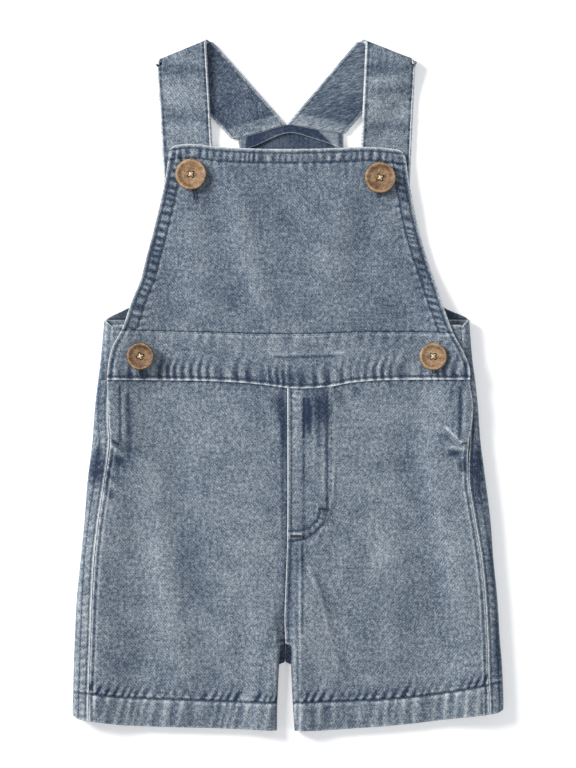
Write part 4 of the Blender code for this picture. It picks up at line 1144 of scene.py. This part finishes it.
strap_denim = denim("washed_strap_denim", 0.45)
STRAP_WALL = 2.4
STRAP_ROW = 2.2
STRAP_WIDTH = 33.0
STRAP_ROLL = 2.0
STRAP_REST = STRAP_WALL / 2 + 0.1
STRAP_OVER = 1.5 * STRAP_WALL + GAP
STRAP_FRONT_LENGTH = 94.0
STRAP_FOLD = (0.34, 0.42)
# Soft bands across the front run by wearer's side: y, half height, tone
STRAP_BANDS = {
    "right": [(204.6, 3.6, -0.3), (175.0, 4.0, -0.3), (189.0, 5.0, 0.1), (166.0, 3.0, 0.08),
              (212.0, 3.0, 0.1)],
    "left": [(205.5, 4.0, -0.34), (191.0, 2.8, -0.26), (168.0, 3.0, -0.3), (198.3, 2.6, 0.16),
             (175.8, 3.0, 0.12), (183.0, 3.0, 0.06)],
}
STRAP_INSIDE = {"right": -0.5, "left": -0.3}


def strap(wearer, side, crest_x, crest_y, back_angle, front_angle, slip, seed):
    def heading(degrees):
        return np.array([math.cos(math.radians(degrees)), math.sin(math.radians(degrees))])

    run, front = heading(back_angle), heading(front_angle)
    out = (run - front) / np.linalg.norm(run - front)
    fold_line = np.array([out[1], -out[0]])
    across = np.array([run[1], -run[0]]) * -side
    around = math.pi * STRAP_ROLL
    axis = np.array([crest_x, crest_y]) - out * (STRAP_ROLL + STRAP_WALL / 2)
    half = STRAP_WIDTH / 2
    low_edge = axis - across * half

    def middle(w, share):
        """The strap's middle surface at a place across it, and a share of its length."""
        fold_in = -w * across.dot(out) / run.dot(out)
        fold_out = (around - w * across.dot(out)) / run.dot(out)
        mark = np.zeros_like(w)
        for _ in range(12):
            px = axis[0] + across[0] * w + run[0] * mark
            py = axis[1] + across[1] * w + run[1] * mark
            mark = mark - (py - along(NECK_SEAM, px) - 0.35) / run[1]
        end = around / run.dot(out) + STRAP_FRONT_LENGTH
        first = np.clip(share / STRAP_FOLD[0], 0.0, 1.0)
        second = np.clip((share - STRAP_FOLD[0]) / (STRAP_FOLD[1] - STRAP_FOLD[0]), 0.0, 1.0)
        third = np.clip((share - STRAP_FOLD[1]) / (1.0 - STRAP_FOLD[1]), 0.0, 1.0)
        s = mark + (fold_in - mark) * first + (fold_out - fold_in) * second + (end - fold_out) * third
        flat_x = axis[0] + across[0] * w + run[0] * s
        flat_y = axis[1] + across[1] * w + run[1] * s
        turned = (flat_x - axis[0]) * out[0] + (flat_y - axis[1]) * out[1]
        q = np.clip(turned, 0.0, around)
        slid = slip * q / around
        shift = np.where(turned > around, around - 2 * turned, STRAP_ROLL * np.sin(q / STRAP_ROLL) - q)
        shift = np.where(turned <= 0.0, 0.0, shift)
        x = flat_x + out[0] * shift + fold_line[0] * slid
        y = flat_y + out[1] * shift + fold_line[1] * slid
        z = STRAP_WALL / 2 + STRAP_ROLL * (1.0 - np.cos(q / STRAP_ROLL))
        outside = (low_edge[0] - x) * across[0] + (low_edge[1] - y) * across[1]
        crest = STRAP_WALL / 2 + 2 * STRAP_ROLL - STRAP_OVER
        over = STRAP_OVER + crest * np.exp(np.minimum(around - turned, 0.0) / 14.0)
        settled = STRAP_REST + (over - STRAP_REST) * (1.0 - smooth(0.0, 20.0, outside))
        z = np.where(turned >= around, settled, z)
        return np.stack([x, y, z], axis=1), s

    def lay(u, v):
        u = gather(u, (0.0, 0.12, 1.0), (1.0, 0.12, 1.0))
        w = (u - 0.5) * STRAP_WIDTH
        here, s = middle(w, v)
        ahead, _ = middle(w, np.minimum(v + 0.002, 1.0))
        behind, _ = middle(w, np.maximum(v - 0.002, 0.0))
        beside, _ = middle(w + 0.2, v)
        before, _ = middle(w - 0.2, v)
        normal = np.cross(beside - before, ahead - behind)
        normal *= -side / np.linalg.norm(normal, axis=1)[:, None]
        gap = half - np.abs(w)
        on_front = smooth(STRAP_FOLD[0] + 0.02, STRAP_FOLD[1], v)
        pull = puckers(s + np.sign(w) * 3.0, 6.0, seed) * band(gap - 2.5, 2.6)
        height = 0.12 * pull - 0.45 * band(gap, 0.7) - 0.12 * band(gap - STRAP_ROW, 0.6)
        tone = 0.22 * pull + 0.95 * band(gap - 0.4, 0.9) - 0.55 * band(gap - STRAP_ROW, 0.65)
        tone = tone + 0.18 * wander(s, 5.0, seed + 6) * wander(w, 7.0, seed + 7)
        for y0, half_y, shade in STRAP_BANDS[wearer]:
            near = band(here[:, 1] - y0 - 1.5 * wander(w, 9.0, seed + 8), half_y)
            tone = tone + shade * near * on_front * smooth(1.5, 5.0, gap)
        clouds = wander(s + 0.5 * w, 9.0, seed + 3) * (0.6 + 0.4 * wander(w - 0.4 * s, 8.0, seed + 4))
        fold_side = smooth(-6.0, half, side * w if wearer == "right" else -side * w)
        inside = STRAP_INSIDE[wearer] + 0.26 * clouds - 0.1 * fold_side
        inside = inside + 0.5 * (1.0 - smooth(0.035, 0.05, v)) + 0.3 * band(v, 0.012)
        rest = smooth(1.6, 3.4, gap)
        worn = on_front + (1.0 - on_front) * (0.35 + 0.2 * (1.0 - rest))
        tone = tone * worn + inside * (1.0 - on_front) * (0.45 + 0.55 * rest)
        points = here + normal * (STRAP_WALL / 2 + height)[:, None]
        return points, tone, np.zeros_like(w)

    piece = shell("strap_cloth_" + wearer, 48, 250, lay, strap_denim, STRAP_WALL, side)
    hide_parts("strap_" + wearer)
    for n, w in enumerate((STRAP_ROW - half, half - STRAP_ROW)):
        places, _ = middle(np.full(80, w), np.linspace(STRAP_FOLD[1] + 0.02, 0.72, 80))
        stitch_row("strap_stitches_%s_%d" % (wearer, n + 1), places[:, 0], places[:, 1], width=0.42)
        places, _ = middle(np.full(80, w), np.linspace(0.04, STRAP_FOLD[0] - 0.03, 80))
        stitch_row("strap_back_stitches_%s_%d" % (wearer, n + 1), places[:, 0], places[:, 1], width=0.36)


strap("right", LEFT, -65.8, 218.4, 131.5, -86.7, -2.6, 110)
strap("left", RIGHT, 61.9, 218.9, 49.6, -92.6, 4.0, 120)


# Buttons
# Four-hole buttons of turned wood, two for the straps and two at the sides, each with a
# rim, a dished middle and painted shade on its edge, sewn on with cream thread that is knotted on top.

wood_finish, wood_shader, wood_start = new_finish("button_wood")
wood_place = wood_start.node("ShaderNodeTexCoord", output=3)
wood_grain = wood_place.noise(170.0, 4.0, 0.65, (1.0, 1.8, 1.0), 0.35)
wood_fleck = wood_place.noise(900.0, 4.0, 0.8, (1.0, 1.5, 1.0), 0.35, 2.0)
wood_tone = attribute(wood_start, "tone")
wood_mix = ((wood_grain - 0.5) * 1.1 + (wood_fleck - 0.5) * 1.5 + wood_tone + 0.5).clamp()
wood_colour = wood_mix.ramp((0.0, (0.045, 0.022, 0.012)), (1.0, (0.52, 0.35, 0.20)),
                            (0.3, (0.15, 0.08, 0.04)), (0.6, (0.31, 0.185, 0.095)))
wood_finish.node_tree.links.new(wood_colour.link, wood_shader.inputs["Base Color"])
wood_bump = wood_start.node("ShaderNodeBump", None, Strength=0.4, Distance=0.0002, Height=wood_fleck)
wood_finish.node_tree.links.new(wood_bump.link, wood_shader.inputs["Normal"])
wood_shader.inputs["Roughness"].default_value = 0.48
cream_finish, cream_shader, _ = new_finish("cream_thread")
cream_shader.inputs["Base Color"].default_value = (0.62, 0.50, 0.34, 1.0)
cream_shader.inputs["Roughness"].default_value = 0.75
HOLE = 0.95
HOLE_SPREAD = 1.9


def button(name, x, y, radius, thick, turn, paleness):
    low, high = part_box(name)
    seat = low[2] / MM
    profile = [(0.0, 0.0), (radius * 0.8, 0.0), (radius * 0.97, thick * 0.3), (radius, thick * 0.55),
               (radius * 0.985, thick * 0.85), (radius * 0.94, thick * 0.98), (radius * 0.88, thick),
               (radius * 0.78, thick * 0.96), (radius * 0.7, thick * 0.8), (radius * 0.5, thick * 0.74),
               (0.0, thick * 0.72)]
    mesh = bmesh.new()
    chain = [mesh.verts.new((r * MM, 0.0, z * MM)) for r, z in profile]
    edges = [mesh.edges.new(pair) for pair in zip(chain, chain[1:])]
    bmesh.ops.spin(mesh, geom=chain + edges, axis=(0.0, 0.0, 1.0), cent=(0.0, 0.0, 0.0),
                   angle=2 * math.pi, steps=64, use_merge=True)
    bmesh.ops.remove_doubles(mesh, verts=mesh.verts, dist=0.00001)
    bmesh.ops.recalc_face_normals(mesh, faces=mesh.faces)
    bmesh.ops.translate(mesh, verts=mesh.verts, vec=Vector((x, y, seat)) * MM)
    disc = put(name + "_wood", mesh)
    drill_mesh = bmesh.new()
    for n in range(4):
        a = math.radians(turn + 90.0 * n)
        place = Vector((x + HOLE_SPREAD * math.cos(a), y + HOLE_SPREAD * math.sin(a), seat + thick / 2)) * MM
        bmesh.ops.create_cone(drill_mesh, cap_ends=True, segments=20, radius1=HOLE * MM,
                              radius2=HOLE * MM, depth=3 * thick * MM, matrix=Matrix.Translation(place))
    drill = put(name + "_drill", drill_mesh)
    cut = disc.modifiers.new("holes", "BOOLEAN")
    cut.operation = "DIFFERENCE"
    cut.object = drill
    bpy.context.view_layer.objects.active = disc
    disc.select_set(True)
    bpy.ops.object.modifier_apply(modifier="holes")
    disc.select_set(False)
    bpy.data.objects.remove(drill)
    places = np.array([vertex.co for vertex in disc.data.vertices]) / MM
    r = np.hypot(places[:, 0] - x, places[:, 1] - y) / radius
    # Each button's own paleness, with painted shade on its outer edge, in the groove inside its rim and round
    # the holes, and a painted highlight on the rim's top.
    wood_tone_and_shade = paleness - 0.42 * smooth(0.95, 1.0, r) - 0.3 * band(r - 0.74, 0.06) + 0.12 * band(r - 0.87, 0.05)
    wood_tone_and_shade = wood_tone_and_shade - 0.2 * (1.0 - smooth(0.16, 0.34, r))
    field = disc.data.attributes.new("tone", "FLOAT", "POINT")
    field.data.foreach_set("value", wood_tone_and_shade.astype(np.float32))
    disc.data.shade_smooth()
    disc.data.set_sharp_from_angle(angle=math.radians(50.0))
    disc.data.materials.append(wood_finish)
    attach(disc, "root")
    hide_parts(name)
    knot = bmesh.new()
    top = seat + thick * 0.74
    for n in range(4):
        a = math.radians(turn + 90.0 * n)
        place = Matrix.Translation(Vector((x + 0.8 * math.cos(a), y + 0.8 * math.sin(a), top)) * MM) \
            @ Matrix.Rotation(a, 4, "Z") @ Matrix.Diagonal((1.3 * MM, 0.5 * MM, 0.45 * MM, 1.0))
        bmesh.ops.create_uvsphere(knot, u_segments=16, v_segments=10, radius=1.0, matrix=place)
    bmesh.ops.create_uvsphere(knot, u_segments=16, v_segments=10, radius=1.0,
                              matrix=Matrix.Translation(Vector((x, y, top + 0.35)) * MM)
                              @ Matrix.Diagonal((0.95 * MM, 1.05 * MM, 0.5 * MM, 1.0)))
    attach(put(name + "_thread", knot, cream_finish), "root")


def buttonhole(name, x, y, length, turn):
    """The end of a worked buttonhole: two close bars of stitches and a bar across their end."""
    run = np.array([math.sin(math.radians(turn)), -math.cos(math.radians(turn))])
    across = np.array([-run[1], run[0]])
    for n, shift in enumerate((-0.95, 0.95)):
        start = np.array([x, y]) + across * shift
        bar_tack("%s_side_%d" % (name, n + 1), start, start + run * length, 1.3)
    end = np.array([x, y]) + run * (length + 0.3)
    bar_tack(name + "_end", end - across * 1.4, end + across * 1.4, 1.1)


button("button_bib_right", -62.9, 136.2, 10.15, 3.0, 40.0, 0.08)
button("button_bib_left", 59.8, 134.0, 10.15, 3.0, 30.0, 0.0)
button("button_side_right", -95.5, 18.2, 8.9, 2.7, 20.0, -0.08)
button("button_side_left", 93.9, 18.1, 8.9, 2.7, 45.0, 0.16)
buttonhole("buttonhole_bib_right", -60.6, 127.0, 6.2, 4.0)
buttonhole("buttonhole_bib_left", 59.0, 124.6, 2.6, -4.0)
buttonhole("buttonhole_side_right", -95.0, 10.0, 2.4, -10.0)
buttonhole("buttonhole_side_left", 94.4, 9.8, 2.0, 5.0)
